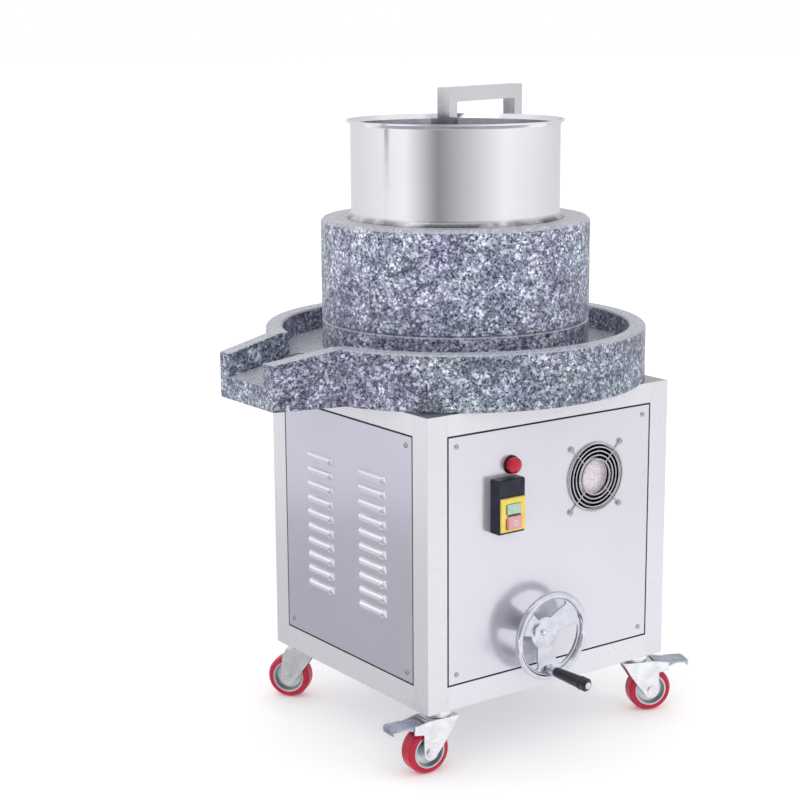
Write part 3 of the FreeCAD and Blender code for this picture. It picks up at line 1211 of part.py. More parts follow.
def fan_rotor():
    """Hub and tilted blades of the cooling fan, turning on the pin of the motor plate."""
    hub_back = FAN_FRONT_Y + FAN_DEPTH - FAN_STATOR_DEPTH - FLAT_GAP
    hub = rod(FAN_HUB_RADIUS, FAN_HUB_DEPTH, Vector(FAN_X, hub_back, FAN_Z), FORWARD)
    middle = Vector(FAN_X, hub_back - FAN_HUB_DEPTH / 2, FAN_Z)
    reach = FAN_DUCT_RADIUS - FAN_BLADE_TIP_GAP
    chord = FAN_HUB_DEPTH * 0.55
    parts = [hub]
    for k in range(FAN_BLADES):
        blade = block(FAN_X + FAN_HUB_RADIUS - 2 * SHEET, FAN_X + reach + 2 * SHEET,
                      middle.y - FAN_BLADE_THICKNESS / 2, middle.y + FAN_BLADE_THICKNESS / 2,
                      FAN_Z - chord, FAN_Z + chord)
        blade = rotated(blade, FAN_BLADE_TILT, RIGHT, middle)
        parts.append(rotated(blade, k * 360.0 / FAN_BLADES, BACK, middle))
    trim = rod(reach, FAN_HUB_DEPTH, Vector(FAN_X, hub_back, FAN_Z), FORWARD)
    rotor = joined(parts).common(trim)
    bore = rod(CRANK_SPINDLE_RADIUS + RUNNING_FIT, FAN_HUB_DEPTH - FAN_STATOR_DEPTH + FLAT_GAP,
               Vector(FAN_X, hub_back, FAN_Z), FORWARD)
    return rotor.cut(bore)


def fan_guard():
    """Welded wire guard: concentric rings on two crossed wires that end in eyes under the screws."""
    half = GUARD_WIRE / 2

    def ring(radius, x, front_y):
        return tube(radius + half, radius - half, GUARD_WIRE, Vector(x, front_y, FAN_Z), BACK)

    ring_front = PANEL_FACE_Y - 2 * GUARD_WIRE + GUARD_LAP
    parts = [ring(GUARD_RING_FIRST + k * GUARD_RING_PITCH, FAN_X, ring_front) for k in range(GUARD_RINGS)]
    eye = FAN_HOLE_SPACING / 2 * math.sqrt(2)
    centre = Vector(FAN_X, PANEL_FACE_Y, FAN_Z)
    for k in range(4):
        wire = block(FAN_X + GUARD_RING_FIRST - half, FAN_X + eye - GUARD_EYE_RADIUS,
                     PANEL_FACE_Y - GUARD_WIRE, PANEL_FACE_Y, FAN_Z - half, FAN_Z + half)
        arm = wire.fuse(ring(GUARD_EYE_RADIUS, FAN_X + eye, PANEL_FACE_Y - GUARD_WIRE))
        parts.append(rotated(arm, 45.0 + 90.0 * k, BACK, centre))
    return joined(parts)


# ---------------------------------------------------------------------------------------------------------
# Cable gland
# ---------------------------------------------------------------------------------------------------------

def cable_gland():
    """Gland through the rear panel: lock nut inside, hexagon and domed cap outside, open bore."""
    start = Vector(GLAND_X, CABINET_REAR, GLAND_Z)
    inner = hexagon(GLAND_HEX, GLAND_HEX_HEIGHT, start + FORWARD * SHEET, FORWARD)
    thread = rod(GLAND_THREAD, SHEET + GLAND_TAIL, start + FORWARD * (SHEET + GLAND_TAIL), BACK)
    flange = hexagon(GLAND_HEX, GLAND_HEX_HEIGHT, start, BACK)
    cap = turned([(0, 0), (GLAND_CAP_RADIUS, 0), (GLAND_CAP_RADIUS, GLAND_CAP_LENGTH * 0.6),
                  (GLAND_CAP_RADIUS * 0.72, GLAND_CAP_LENGTH), (0, GLAND_CAP_LENGTH)],
                 start + BACK * (GLAND_HEX_HEIGHT), BACK)
    body = joined([inner, thread, flange, cap])
    length = SHEET + GLAND_TAIL + GLAND_HEX_HEIGHT + GLAND_CAP_LENGTH
    bore = rod(GLAND_BORE, length, start + FORWARD * (SHEET + GLAND_TAIL), BACK)
    return body.cut(bore)


# ---------------------------------------------------------------------------------------------------------
# Castors, each drawn with its swivel axis at x = y = 0 and its wheel trailing towards +X
# ---------------------------------------------------------------------------------------------------------

CHEEK_Y = CASTOR_FORK_SPACE / 2
CHEEK_FOOT = 2.6 * CASTOR_AXLE_RADIUS
FORK_HALF = CHEEK_Y + CASTOR_FORK_SHEET
AXLE_Z = CASTOR_WHEEL_RADIUS
PEDAL_PIN_X = CASTOR_TRAIL + PEDAL_PIN_FROM_AXLE
HORN_X = PEDAL_PIN_X + 2.6 * PEDAL_BOSS_RADIUS


def placed_castor(shape, name):
    x, y = castor_places()[name]
    return moved(rotated(shape, CASTOR_ANGLES[name]), x, y, 0)


def castor_stem():
    """Fixed half of the swivel: threaded stem, upper race and the nut inside the cabinet."""
    race_low = CASTOR_CROWN_HEIGHT + CASTOR_FORK_SHEET + 2 * FLAT_GAP
    waist = CASTOR_RACE_RADIUS * 0.83
    race = turned([(0, race_low), (waist, race_low), (CASTOR_RACE_RADIUS, (race_low + CABINET_BASE) / 2),
                   (CASTOR_RACE_RADIUS, CABINET_BASE), (0, CABINET_BASE)])
    stem = rod(CASTOR_STEM_RADIUS, BASE_PLATE + CASTOR_NUT + 2 * SHEET, Vector(0, 0, CABINET_BASE))
    nut = hexagon(CASTOR_NUT_RADIUS, CASTOR_NUT, Vector(0, 0, BASE_TOP))
    return joined([race, stem, nut])


def cheek(y0, horned):
    """One pressed cheek: it bulges forward from the crown down to the axle; horned ones reach back to carry
    the brake pedal's pin."""
    top = CASTOR_CROWN_HEIGHT + CASTOR_FORK_SHEET
    front = -CASTOR_CROWN_RADIUS
    rear = CASTOR_CROWN_RADIUS
    axle_x = CASTOR_TRAIL
    lean = math.radians(200.0)
    toe = (axle_x + CHEEK_FOOT * math.cos(lean), AXLE_Z + CHEEK_FOOT * math.sin(lean))
    brow = ((front + toe[0]) / 2 - CASTOR_CHEEK_BOW * 0.6, (top + toe[1]) / 2 - CASTOR_CHEEK_BOW * 0.8)

    def at(point):
        return Vector(point[0], y0, point[1])

    heel = (axle_x + CHEEK_FOOT, AXLE_Z)
    edges = [
        Part.Arc(at((front, top)), at(brow), at(toe)).toShape(),
        Part.Arc(at(toe), at((axle_x, AXLE_Z - CHEEK_FOOT)), at(heel)).toShape(),
    ]
    if horned:
        low = PEDAL_PIN_HEIGHT - 2 * PEDAL_BOSS_RADIUS
        back = [heel, (heel[0], low), (HORN_X, low + CASTOR_FORK_SHEET),
                (HORN_X, PEDAL_PIN_HEIGHT + PEDAL_BOSS_RADIUS), (rear, top), (front, top)]
    else:
        back = [heel, (rear + CHEEK_FOOT / 2, top - CHEEK_FOOT), (rear, top), (front, top)]
    edges += Part.makePolygon([at(point) for point in back]).Edges
    return Part.Face(Part.Wire(edges)).extrude(Vector(0, CASTOR_FORK_SHEET, 0))


def castor_fork(braked):
    """Pressed fork with its crown, two cheeks and riveted axle."""
    top = CASTOR_CROWN_HEIGHT
    crown = block(-CASTOR_CROWN_RADIUS, CASTOR_CROWN_RADIUS, -FORK_HALF, FORK_HALF,
                  top, top + CASTOR_FORK_SHEET)
    parts = [crown, cheek(CHEEK_Y, braked), cheek(-FORK_HALF, braked)]
    axle_head = CASTOR_AXLE_RADIUS * 0.6
    axle_start = Vector(CASTOR_TRAIL, -FORK_HALF, AXLE_Z)
    parts.append(rod(CASTOR_AXLE_RADIUS, 2 * FORK_HALF, axle_start, BACK))
    for side in (-1, 1):
        start = Vector(CASTOR_TRAIL, side * FORK_HALF, AXLE_Z)
        parts.append(hexagon(CASTOR_AXLE_RADIUS * 1.7, axle_head, start, BACK if side > 0 else FORWARD))
    if braked:
        pin_start = Vector(PEDAL_PIN_X, -FORK_HALF, PEDAL_PIN_HEIGHT)
        parts.append(rod(PEDAL_PIN_RADIUS, 2 * FORK_HALF, pin_start, BACK))
    return joined(parts)


def castor_hub():
    """Wheel centre with its raised boss and dished web."""
    rim = CASTOR_WHEEL_RADIUS - CASTOR_TREAD
    bore = CASTOR_AXLE_RADIUS + RUNNING_FIT
    boss = bore + CASTOR_AXLE_RADIUS
    half = CASTOR_WHEEL_WIDTH / 2
    web = half * 0.45
    reach = CHEEK_Y - FLAT_GAP
    lip = rim - CASTOR_AXLE_RADIUS / 2
    points = [(bore, -reach), (boss, -reach), (boss, -web), (lip - web / 2, -web), (lip, -half), (rim, -half),
              (rim, half), (lip, half), (lip - web / 2, web), (boss, web), (boss, reach), (bore, reach)]
    return turned(points, Vector(CASTOR_TRAIL, 0, AXLE_Z), BACK)


def castor_tyre():
    """Cast polyurethane tread with rounded shoulders."""
    inner = CASTOR_WHEEL_RADIUS - CASTOR_TREAD
    half = CASTOR_WHEEL_WIDTH / 2
    shoulder = CASTOR_SHOULDER
    points = [(inner, -half), (CASTOR_WHEEL_RADIUS - shoulder, -half),
              (CASTOR_WHEEL_RADIUS, -half + 1.6 * shoulder), (CASTOR_WHEEL_RADIUS, half - 1.6 * shoulder),
              (CASTOR_WHEEL_RADIUS - shoulder, half), (inner, half)]
    return turned(points, Vector(CASTOR_TRAIL, 0, AXLE_Z), BACK)


def brake_pedal():
    """Folded pedal: two ears on the fork's pin, a tread that widens behind the fork and a lip turned down."""
    ear = CHEEK_Y - FLAT_GAP
    top = PEDAL_PIN_HEIGHT + PEDAL_BOSS_RADIUS
    low = PEDAL_PIN_HEIGHT - PEDAL_BOSS_RADIUS
    root = PEDAL_PIN_X - PEDAL_BOSS_RADIUS
    wide = HORN_X + PEDAL_FREE
    half = PEDAL_WIDTH / 2
    corner = PEDAL_LIP / 2
    tread = slab([(root, -ear), (wide, -ear), (wide + half - ear, -half), (PEDAL_REACH - corner, -half),
                  (PEDAL_REACH, -half + corner), (PEDAL_REACH, half - corner), (PEDAL_REACH - corner, half),
                  (wide + half - ear, half), (wide, ear), (root, ear)], top - PEDAL_SHEET, top)
    lip = block(PEDAL_REACH - PEDAL_SHEET, PEDAL_REACH, corner - half, half - corner, top - PEDAL_LIP, top)
    parts = [tread, lip]
    for y0 in (-ear, ear - PEDAL_SHEET):
        side = outline([Vector(root, y0, low), Vector(PEDAL_PIN_X + PEDAL_BOSS_RADIUS, y0, low),
                        Vector(PEDAL_REACH - half, y0, top - PEDAL_SHEET), Vector(root, y0, top - PEDAL_SHEET)])
        parts.append(side.extrude(Vector(0, PEDAL_SHEET, 0)))
    hole_start = Vector(PEDAL_PIN_X, -CHEEK_Y, PEDAL_PIN_HEIGHT)
    hole = rod(PEDAL_PIN_RADIUS + RUNNING_FIT, 2 * CHEEK_Y, hole_start, BACK)
    return joined(parts).cut(hole)


# ---------------------------------------------------------------------------------------------------------
# Every piece by name
# ---------------------------------------------------------------------------------------------------------

def all_pieces():
    half_side = side_half()
    posts = []
    for side in (-1, 1):
        posts.append(corner_post(side, -CABINET_FRONT, 1))
        posts.append(corner_post(side, CABINET_REAR, -1))
    sleeve_bolt_holes = [rod(SOCKET_BOLT_RADIUS + HOLE_PLAY, 2 * SHEET, Vector(x - 2 * SHEET, y, z), RIGHT)
                         for x, y, z in socket_bolt_places()]
    posts = [post.cut(sleeve_bolt_holes) for post in posts]
    pieces = {
        "corner_posts": group(posts),
        "upper_rails": group(rails(True)),
        "lower_rails": group(rails(False)),
        "top_plate": top_plate(),
        "base_plate": base_plate(),
        "front_panel": front_panel(),
        "left_panel": to_left(louvred_panel(half_side)),
        "right_panel": to_right(louvred_panel(half_side)),
        "rear_panel": rear_panel(),
        "bed_stone": bed_stone(),
        "guide_bush": guide_bush(),
        "runner_stone": runner_stone(),
        "rynd": rynd(),
        "main_shaft": main_shaft(),
        "hopper": hopper(),
        "stirrer_post": stirrer_post(),
        "stirrer_crossbar": stirrer_crossbar(),
        "stirrer_leg": stirrer_leg(),
        "arm_socket": arm_socket(),
        "socket_bolts": group(socket_bolts()),
        "gearbox_housing": gearbox_housing(),
        "output_sleeve": output_sleeve(),
        "motor_body": motor_body(),
        "motor_cowl": motor_cowl(),
        "motor_rotor": motor_rotor(),
        "jack_housing": jack_housing(),
        "lift_screw": lift_screw(),
        "thrust_bearing": thrust_bearing(),
        "handwheel": handwheel(),
        "crank_grip": crank_grip(),
        "handwheel_shaft": handwheel_shaft(),
        "shaft_bearing": shaft_bearing(),
        "switch_housing": switch_housing(),
        "switch_collar": switch_collar(),
        "start_button": push_button(START_BUTTON_HEIGHT, START_Z, START_PROUD),
        "stop_button": push_button(STOP_BUTTON_HEIGHT, STOP_Z, STOP_PROUD),
        "lamp_bezel": lamp_bezel(),
        "lamp_lens": lamp_lens(),
        "fan_guard": fan_guard(),
        "fan_housing": fan_housing(),
        "fan_rotor": fan_rotor(),
        "cable_gland": cable_gland(),
    }
    stems = []
    for name in castor_places():
        stems.append(placed_castor(castor_stem(), name))
        pieces["fork_" + name] = placed_castor(castor_fork(name in BRAKED_CASTORS), name)
        pieces["hub_" + name] = placed_castor(castor_hub(), name)
        pieces["tyre_" + name] = placed_castor(castor_tyre(), name)
        if name in BRAKED_CASTORS:
            pieces["pedal_" + name] = placed_castor(brake_pedal(), name)
    pieces["castor_stems"] = group(stems)
    return pieces


def main():
    pieces = all_pieces()
    box = group(list(pieces.values())).optimalBoundingBox(False, False)
    middle = Vector(-box.Center.x, -box.Center.y, -box.ZMin)
    os.makedirs("parts", exist_ok=True)
    for name, shape in pieces.items():
        shape.translate(middle)
        shape.exportStep(os.path.join("parts", name + ".step"))


main()
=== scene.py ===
"""Looks of a stone mill for nut butter, dressed round its packed construction."""

import json
import math

import bmesh
import bpy
from mathutils import Matrix, Vector


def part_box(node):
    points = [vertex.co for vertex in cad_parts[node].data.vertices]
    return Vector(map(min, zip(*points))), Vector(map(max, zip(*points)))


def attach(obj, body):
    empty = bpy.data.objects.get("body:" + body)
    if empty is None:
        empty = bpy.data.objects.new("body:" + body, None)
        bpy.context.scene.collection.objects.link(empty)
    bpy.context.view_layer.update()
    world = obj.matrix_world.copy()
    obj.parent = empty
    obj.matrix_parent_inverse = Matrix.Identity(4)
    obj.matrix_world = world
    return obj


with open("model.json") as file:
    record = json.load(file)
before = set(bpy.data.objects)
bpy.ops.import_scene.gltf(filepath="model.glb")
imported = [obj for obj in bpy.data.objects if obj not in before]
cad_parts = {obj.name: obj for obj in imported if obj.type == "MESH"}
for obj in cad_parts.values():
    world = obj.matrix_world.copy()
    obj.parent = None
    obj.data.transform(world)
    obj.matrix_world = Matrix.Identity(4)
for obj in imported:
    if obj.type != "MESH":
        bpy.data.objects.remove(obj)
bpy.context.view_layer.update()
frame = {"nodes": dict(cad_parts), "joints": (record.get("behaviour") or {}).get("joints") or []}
nodes = frame["nodes"]
joints = {joint["name"]: joint for joint in frame["joints"]}


# ---------------------------------------------------------------------------------------------------------
# Cabinet frame: four corner posts and eight rails folded from 304 stainless sheet, brushed along their
# length, welded at the corners and dressed smooth. Floor plate of the same sheet.
# ---------------------------------------------------------------------------------------------------------

def new_group(name, inputs, outputs):
    """A shader node group with the named sockets, and its two end nodes."""
    group = bpy.data.node_groups.new(name, "ShaderNodeTree")
    for label, kind, value in inputs:
        socket = group.interface.new_socket(label, in_out="INPUT", socket_type="NodeSocket" + kind)
        socket.default_value = value
    for label, kind in outputs:
        group.interface.new_socket(label, in_out="OUTPUT", socket_type="NodeSocket" + kind)
    return group, group.nodes.new("NodeGroupInput"), group.nodes.new("NodeGroupOutput")


def add(tree, kind, **settings):
    """One node with its settings; a setting that names an input gives that input's value."""
    node = tree.nodes.new("ShaderNode" + kind)
    for key, value in settings.items():
        if hasattr(node, key):
            setattr(node, key, value)
        else:
            node.inputs[key.replace("_", " ")].default_value = value
    return node


def noise(tree, where, **settings):
    """Noise texture read at the given coordinates."""
    texture = add(tree, "TexNoise", **settings)
    tree.links.new(where, texture.inputs["Vector"])
    return texture


def sum_of(tree, operation, *values):
    """Result of a Math node; each value may be a socket or a plain number."""
    result = add(tree, "Math", operation=operation)
    for place, value in enumerate(values):
        if isinstance(value, bpy.types.NodeSocket):
            tree.links.new(value, result.inputs[place])
        else:
            result.inputs[place].default_value = value
    return result.outputs[0]


def graded(tree, value, low, high, to_low, to_high):
    """Value stretched from low..high to to_low..to_high, and held at the ends."""
    ramp = add(tree, "MapRange", From_Min=low, From_Max=high, To_Min=to_low, To_Max=to_high)
    tree.links.new(value, ramp.inputs["Value"])
    return ramp.outputs["Result"]


def mixed(tree, factor, first, second, blend="MIX"):
    """Colour mix; each of the three may be a socket or a plain value."""
    mix = tree.nodes.new("ShaderNodeMix")
    mix.data_type = "RGBA"
    mix.blend_type = blend
    for place, value in ((0, factor), (6, first), (7, second)):
        if isinstance(value, bpy.types.NodeSocket):
            tree.links.new(value, mix.inputs[place])
        elif place == 0:
            mix.inputs[place].default_value = value
        else:
            mix.inputs[place].default_value = (*value, 1.0)
    return mix.outputs[2]


def placed(material, group_name, **values):
    """One use of a finish group in a material, with the material's own values."""
    node = material.node_tree.nodes.new("ShaderNodeGroup")
    node.node_tree = bpy.data.node_groups[group_name]
    for key, value in values.items():
        node.inputs[key.replace("_", " ")].default_value = value
    return node


def new_material(name, metallic, roughness, **shader_values):
    """A material with its Principled shader; plain numbers are set on the shader's own sockets."""
    material = bpy.data.materials.new(name)
    material.use_nodes = True
    shader = material.node_tree.nodes["Principled BSDF"]
    shader.inputs["Metallic"].default_value = metallic
    shader.inputs["Roughness"].default_value = roughness
    for key, value in shader_values.items():
        shader.inputs[key.replace("_", " ")].default_value = value
    return material, shader


def wire(material, source, shader, label):
    """Let a result of the material's nodes drive one of the shader's inputs."""
    material.node_tree.links.new(source, shader.inputs[label])


def relief(material, shader, height, depth, soft_edge=None):
    """Bump of the given depth in metres; soft_edge is a normal that rounds the edges."""
    bump = add(material.node_tree, "Bump", Strength=1.0, Distance=depth)
    material.node_tree.links.new(height, bump.inputs["Height"])
    if soft_edge is not None:
        material.node_tree.links.new(soft_edge, bump.inputs["Normal"])
    wire(material, bump.outputs["Normal"], shader, "Normal")


def dress(material, *names, sharp_angle=28.0):
    """Give whole nodes one material; edges sharper than the angle in degrees stay crisp."""
    for name in names:
        for slot in nodes[name].material_slots:
            slot.material = material
        nodes[name].data.shade_smooth()
        nodes[name].data.set_sharp_from_angle(angle=math.radians(sharp_angle))


def make_brushed():
    """Lines of an abrasive belt: long fine streaks, broad tone changes and faint hand marks."""
    group, ends, out = new_group(
        "brushed", [("Stretch", "Vector", (1200.0, 1200.0, 14.0))],
        [("Tone", "Float"), ("Rough", "Float"), ("Lines", "Float")])
    where = add(group, "TexCoord")
    scaled = add(group, "VectorMath", operation="MULTIPLY")
    group.links.new(where.outputs["Object"], scaled.inputs[0])
    group.links.new(ends.outputs["Stretch"], scaled.inputs[1])
    lines = noise(group, scaled.outputs[0], Scale=1.0, Detail=3.0, Roughness=0.6)
    broad = noise(group, where.outputs["Object"], Scale=4.5, Detail=2.0, Roughness=0.5)
    smears = noise(group, where.outputs["Object"], Scale=26.0, Detail=4.0, Roughness=0.65, Distortion=0.8)
    tone = sum_of(group, "MULTIPLY_ADD", lines.outputs["Fac"], 0.45,
                  graded(group, broad.outputs["Fac"], 0.3, 0.7, 0.0, 0.55))
    rough = sum_of(group, "ADD", graded(group, lines.outputs["Fac"], 0.3, 0.7, -0.02, 0.02),
                   graded(group, smears.outputs["Fac"], 0.35, 0.75, -0.01, 0.03))
    group.links.new(tone, out.inputs["Tone"])
    group.links.new(rough, out.inputs["Rough"])
    group.links.new(lines.outputs["Fac"], out.inputs["Lines"])


EDGE_RADIUS = 0.0009


def make_soft_edges():
    """Edges broken by a file: the rounded normal, and a mask of the edge strip. Materials lighten that strip for
    handling wear, and on the stainless sheet and the screws also as a painted sheen.
    """
    group, ends, out = new_group("soft_edges", [("Wear", "Float", 1.0)], [("Normal", "Vector"), ("Edge", "Float")])
    round_over = add(group, "Bevel", samples=4, Radius=EDGE_RADIUS)
    plain = add(group, "NewGeometry")
    across = add(group, "VectorMath", operation="DOT_PRODUCT")
    group.links.new(round_over.outputs["Normal"], across.inputs[0])
    group.links.new(plain.outputs["Normal"], across.inputs[1])
    edge = sum_of(group, "MULTIPLY", graded(group, across.outputs["Value"], 0.99, 0.8, 0.0, 1.0),
                  ends.outputs["Wear"])
    group.links.new(round_over.outputs["Normal"], out.inputs["Normal"])
    group.links.new(edge, out.inputs["Edge"])


make_brushed()
make_soft_edges()


def stainless(name, dark, light, roughness, stretch, depth=0.00001, metallic=1.0, uneven=1.0):
    """Brushed stainless sheet; stretch is lines to the metre along each axis, few along the brushing, depth is
    that of the lines in metres, and uneven is how much the gloss varies."""
    material, shader = new_material(name, metallic, roughness)
    brushed = placed(material, "brushed", Stretch=stretch)
    edges = placed(material, "soft_edges")
    tree = material.node_tree
    sheet = mixed(tree, brushed.outputs["Tone"], dark, light)
    # Edges take the sheet's light tone: handling wear, and a painted sheen along them.
    wire(material, mixed(tree, edges.outputs["Edge"], sheet, light), shader, "Base Color")
    rough = sum_of(tree, "MULTIPLY_ADD", brushed.outputs["Rough"], uneven, roughness)
    wire(material, rough, shader, "Roughness")
    relief(material, shader, brushed.outputs["Lines"], depth, edges.outputs["Normal"])
    return material


FRAME_LINE_DEPTH = 0.0000005
post_steel = stainless("post steel", (0.70, 0.69, 0.735), (0.72, 0.71, 0.76), 0.28, (1500.0, 1500.0, 14.0),
                       FRAME_LINE_DEPTH, metallic=0.55, uneven=0.4)
rail_steel = stainless("rail steel", (0.72, 0.71, 0.76), (0.74, 0.73, 0.78), 0.28, (14.0, 14.0, 1500.0),
                       FRAME_LINE_DEPTH, metallic=0.55, uneven=0.4)
dress(post_steel, "corner_posts")
dress(rail_steel, "upper_rails", "lower_rails", "base_plate")


# ---------------------------------------------------------------------------------------------------------
# Panels: thin stainless sheets in the four openings, each held by four pan-head screws near its corners.
# The left and right ones have two rows of ten pressed louvres. A black strip in the gap behind paints the gap's
# shadow.
# ---------------------------------------------------------------------------------------------------------

panel_steel = stainless("panel steel", (0.65, 0.64, 0.71), (0.72, 0.705, 0.775), 0.20, (18.0, 18.0, 1400.0),
                        0.000003, metallic=0.62)
# The side panels' sheet is painted a shade darker than the front panel's: painted shade.
side_steel = stainless("side panel steel", (0.56, 0.555, 0.66), (0.62, 0.615, 0.72), 0.22, (18.0, 18.0, 1400.0),
                       0.000002, metallic=0.8)
LOUVRE_FLAT_ANGLE = 40.0        # the flats of a louvre's hood shade as one round
dress(panel_steel, "front_panel", "rear_panel")
dress(side_steel, "left_panel", "right_panel", sharp_angle=LOUVRE_FLAT_ANGLE)


FLAT_ENOUGH = 0.9995            # sideways part of a normal that still counts as the flat of the sheet


def keep_sheet_flat(name):
    """Edges between the flat of a pressed sheet and its louvres stay crisp, so the flat shades as a flat."""
    mesh = nodes[name].data
    beside = {}
    for face in mesh.polygons:
        for key in face.edge_keys:
            beside.setdefault(key, set()).add(abs(face.normal.x) > FLAT_ENOUGH)
    for edge in mesh.edges:
        if len(beside[edge.key]) == 2:
            edge.use_edge_sharp = True


keep_sheet_flat("left_panel")
keep_sheet_flat("right_panel")


def paint_louvre_highlights(material):
    """Painted highlight on the louvres: the round edges of their hoods that face up are made bright and satin."""
    tree = material.node_tree
    shader = tree.nodes["Principled BSDF"]
    geometry = add(tree, "NewGeometry")
    split = add(tree, "SeparateXYZ")
    tree.links.new(geometry.outputs["Normal"], split.inputs[0])
    flatness = sum_of(tree, "ABSOLUTE", split.outputs["X"])
    pressed = sum_of(tree, "MULTIPLY", graded(tree, flatness, 0.96, 0.86, 0.0, 1.0),
                     graded(tree, split.outputs["Z"], -0.12, 0.24, 0.0, 1.0))
    sheet = shader.inputs["Base Color"].links[0].from_socket
    wire(material, mixed(tree, pressed, sheet, (0.97, 0.96, 1.0)), shader, "Base Color")
    wire(material, graded(tree, pressed, 0.0, 1.0, 0.8, 0.15), shader, "Metallic")


paint_louvre_highlights(side_steel)

GAP_SHADE_SETBACK = 0.0007     # strip below the outer face of the panel
GAP_SHADE_DEPTH = 0.0022
FRAME_PLAY = 0.003              # gap between the edge of a panel and the frame

# Black of the strip that paints the shadow in the gaps round the panels.
gap_shade, gap_shade_shader = new_material("painted gap shade", 0.0, 0.9)
gap_shade_tree = gap_shade.node_tree
gap_shade_cells = noise(gap_shade_tree, add(gap_shade_tree, "TexCoord").outputs["Object"], Scale=900.0, Detail=2.0)
gap_shade_black = mixed(gap_shade_tree, gap_shade_cells.outputs["Fac"], (0.006, 0.006, 0.008), (0.022, 0.022, 0.026))
wire(gap_shade, gap_shade_black, gap_shade_shader, "Base Color")


def facing(origin, outward):
    """Matrix that takes local +Z to the outward direction at origin."""
    return Matrix.Translation(origin) @ Vector(outward).to_track_quat("Z", "Y").to_matrix().to_4x4()


def bridge(bm, low, high):
    """Faces between two loops of the same number of points."""
    for k in range(len(low)):
        after = (k + 1) % len(low)
        bm.faces.new((low[k], low[after], high[after], high[k]))


def piece(name, bm, places, body, material, smooth_angle=30.0):
    """One object that holds a copy of the bmesh at each place, riding on a body."""
    bmesh.ops.recalc_face_normals(bm, faces=bm.faces)
    single = bpy.data.meshes.new(name + "_one")
    bm.to_mesh(single)
    bm.free()
    whole = bmesh.new()
    for matrix in places:
        copy = single.copy()
        copy.transform(matrix)
        whole.from_mesh(copy)
        bpy.data.meshes.remove(copy)
    bpy.data.meshes.remove(single)
    mesh = bpy.data.meshes.new(name)
    whole.to_mesh(mesh)
    whole.free()
    mesh.materials.append(material)
    mesh.shade_smooth()
    mesh.set_sharp_from_angle(angle=math.radians(smooth_angle))
    item = bpy.data.objects.new(name, mesh)
    bpy.context.scene.collection.objects.link(item)
    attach(item, body)
    return item


def panel_face(panel, outward):
    """Axis across the sheet, axis along its width, and the place of its outer face. Louvres stand proud of the
    side panels, so there the posts give the face."""
    axis = 0 if outward[0] else 1
    low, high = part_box(panel if axis else "corner_posts")
    return axis, 1 - axis, low[axis] if outward[axis] < 0 else high[axis]


def panel_gap_shade(panel, outward):
    """Black strip in the play between the panel and the frame round it, a painted shadow in the gap."""
    low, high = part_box(panel)
    axis, across, face = panel_face(panel, outward)
    bm = bmesh.new()
    loops = []
    for setback in (GAP_SHADE_SETBACK, GAP_SHADE_SETBACK + GAP_SHADE_DEPTH):
        for grow in (0.0, FRAME_PLAY):
            loop = []
            for side, top in ((-1, -1), (1, -1), (1, 1), (-1, 1)):
                spot = Vector((0.0, 0.0, (high[2] + grow) if top > 0 else (low[2] - grow)))
                spot[axis] = face - outward[axis] * setback
                spot[across] = (high[across] + grow) if side > 0 else (low[across] - grow)
                loop.append(bm.verts.new(spot))
            loops.append(loop)
    front_inner, front_outer, back_inner, back_outer = loops
    bridge(bm, front_inner, front_outer)
    bridge(bm, front_outer, back_outer)
    bridge(bm, back_outer, back_inner)
    bridge(bm, back_inner, front_inner)
    piece(panel + "_gap_shade", bm, [Matrix.Identity(4)], "cabinet", gap_shade)


PANELS = {"front_panel": (0, -1, 0), "rear_panel": (0, 1, 0), "left_panel": (-1, 0, 0), "right_panel": (1, 0, 0)}
for panel, outward in PANELS.items():
    panel_gap_shade(panel, outward)

PANEL_SCREW_INSET = 0.015
SCREW_TURN_ACROSS = 9           # radians a metre, so that no two screws are left at the same angle
SCREW_TURN_UP = 5
SCREW_PROFILE = ((0.0042, 0.0), (0.0042, 0.0004), (0.0038, 0.0014), (0.0029, 0.0019))
SCREW_SIDES = 28
RECESS_HALF_LENGTH = 0.0019
RECESS_HALF_WIDTH = 0.0005
RECESS_DEPTH = 0.0012
RECESS_TAPER = 0.8              # size of a recess at its bottom against its mouth
SAME_HEIGHT = 1e-7              # heights that differ by less count as one


def ring(bm, radius, height, sides):
    """Points of one round loop."""
    return [bm.verts.new((radius * math.cos(2 * math.pi * k / sides), radius * math.sin(2 * math.pi * k / sides),
                          height)) for k in range(sides)]


def lathed(profile, sides, close_top=True):
    """bmesh turned about +Z from (radius, height) pairs."""
    bm = bmesh.new()
    loops = [ring(bm, radius, height, sides) for radius, height in profile]
    for low, high in zip(loops, loops[1:]):
        bridge(bm, low, high)
    if close_top:
        bm.faces.new(loops[-1])
    return bm


def recess(bm, profile, half_length, half_width, depth, cross=True):
    """Close the top of a lathed head with a face that has a recess sunk into it: a cross, or else a slot."""
    rim = [v for v in bm.verts if abs(v.co.z - profile[-1][1]) < SAME_HEIGHT]
    height = rim[0].co.z
    arm = ((half_length, -half_width), (half_length, half_width))
    if cross:
        arm += ((half_width, half_width),)
    outline = []
    for quarter in range(0, 4, 1 if cross else 2):
        turn = Matrix.Rotation(quarter * math.pi / 2, 3, "Z")
        outline += [turn @ Vector((x, y, 0.0)) for x, y in arm]
    upper = [bm.verts.new((c.x, c.y, height)) for c in outline]
    lower = [bm.verts.new((c.x * RECESS_TAPER, c.y * RECESS_TAPER, height - depth)) for c in outline]
    loop_edges = []
    for loop in (rim, upper):
        for k in range(len(loop)):
            pair = (loop[k], loop[(k + 1) % len(loop)])
            loop_edges.append(bm.edges.get(pair) or bm.edges.new(pair))
    bmesh.ops.triangle_fill(bm, use_beauty=True, use_dissolve=False, edges=loop_edges)
    bridge(bm, lower, upper)
    bm.faces.new(lower)


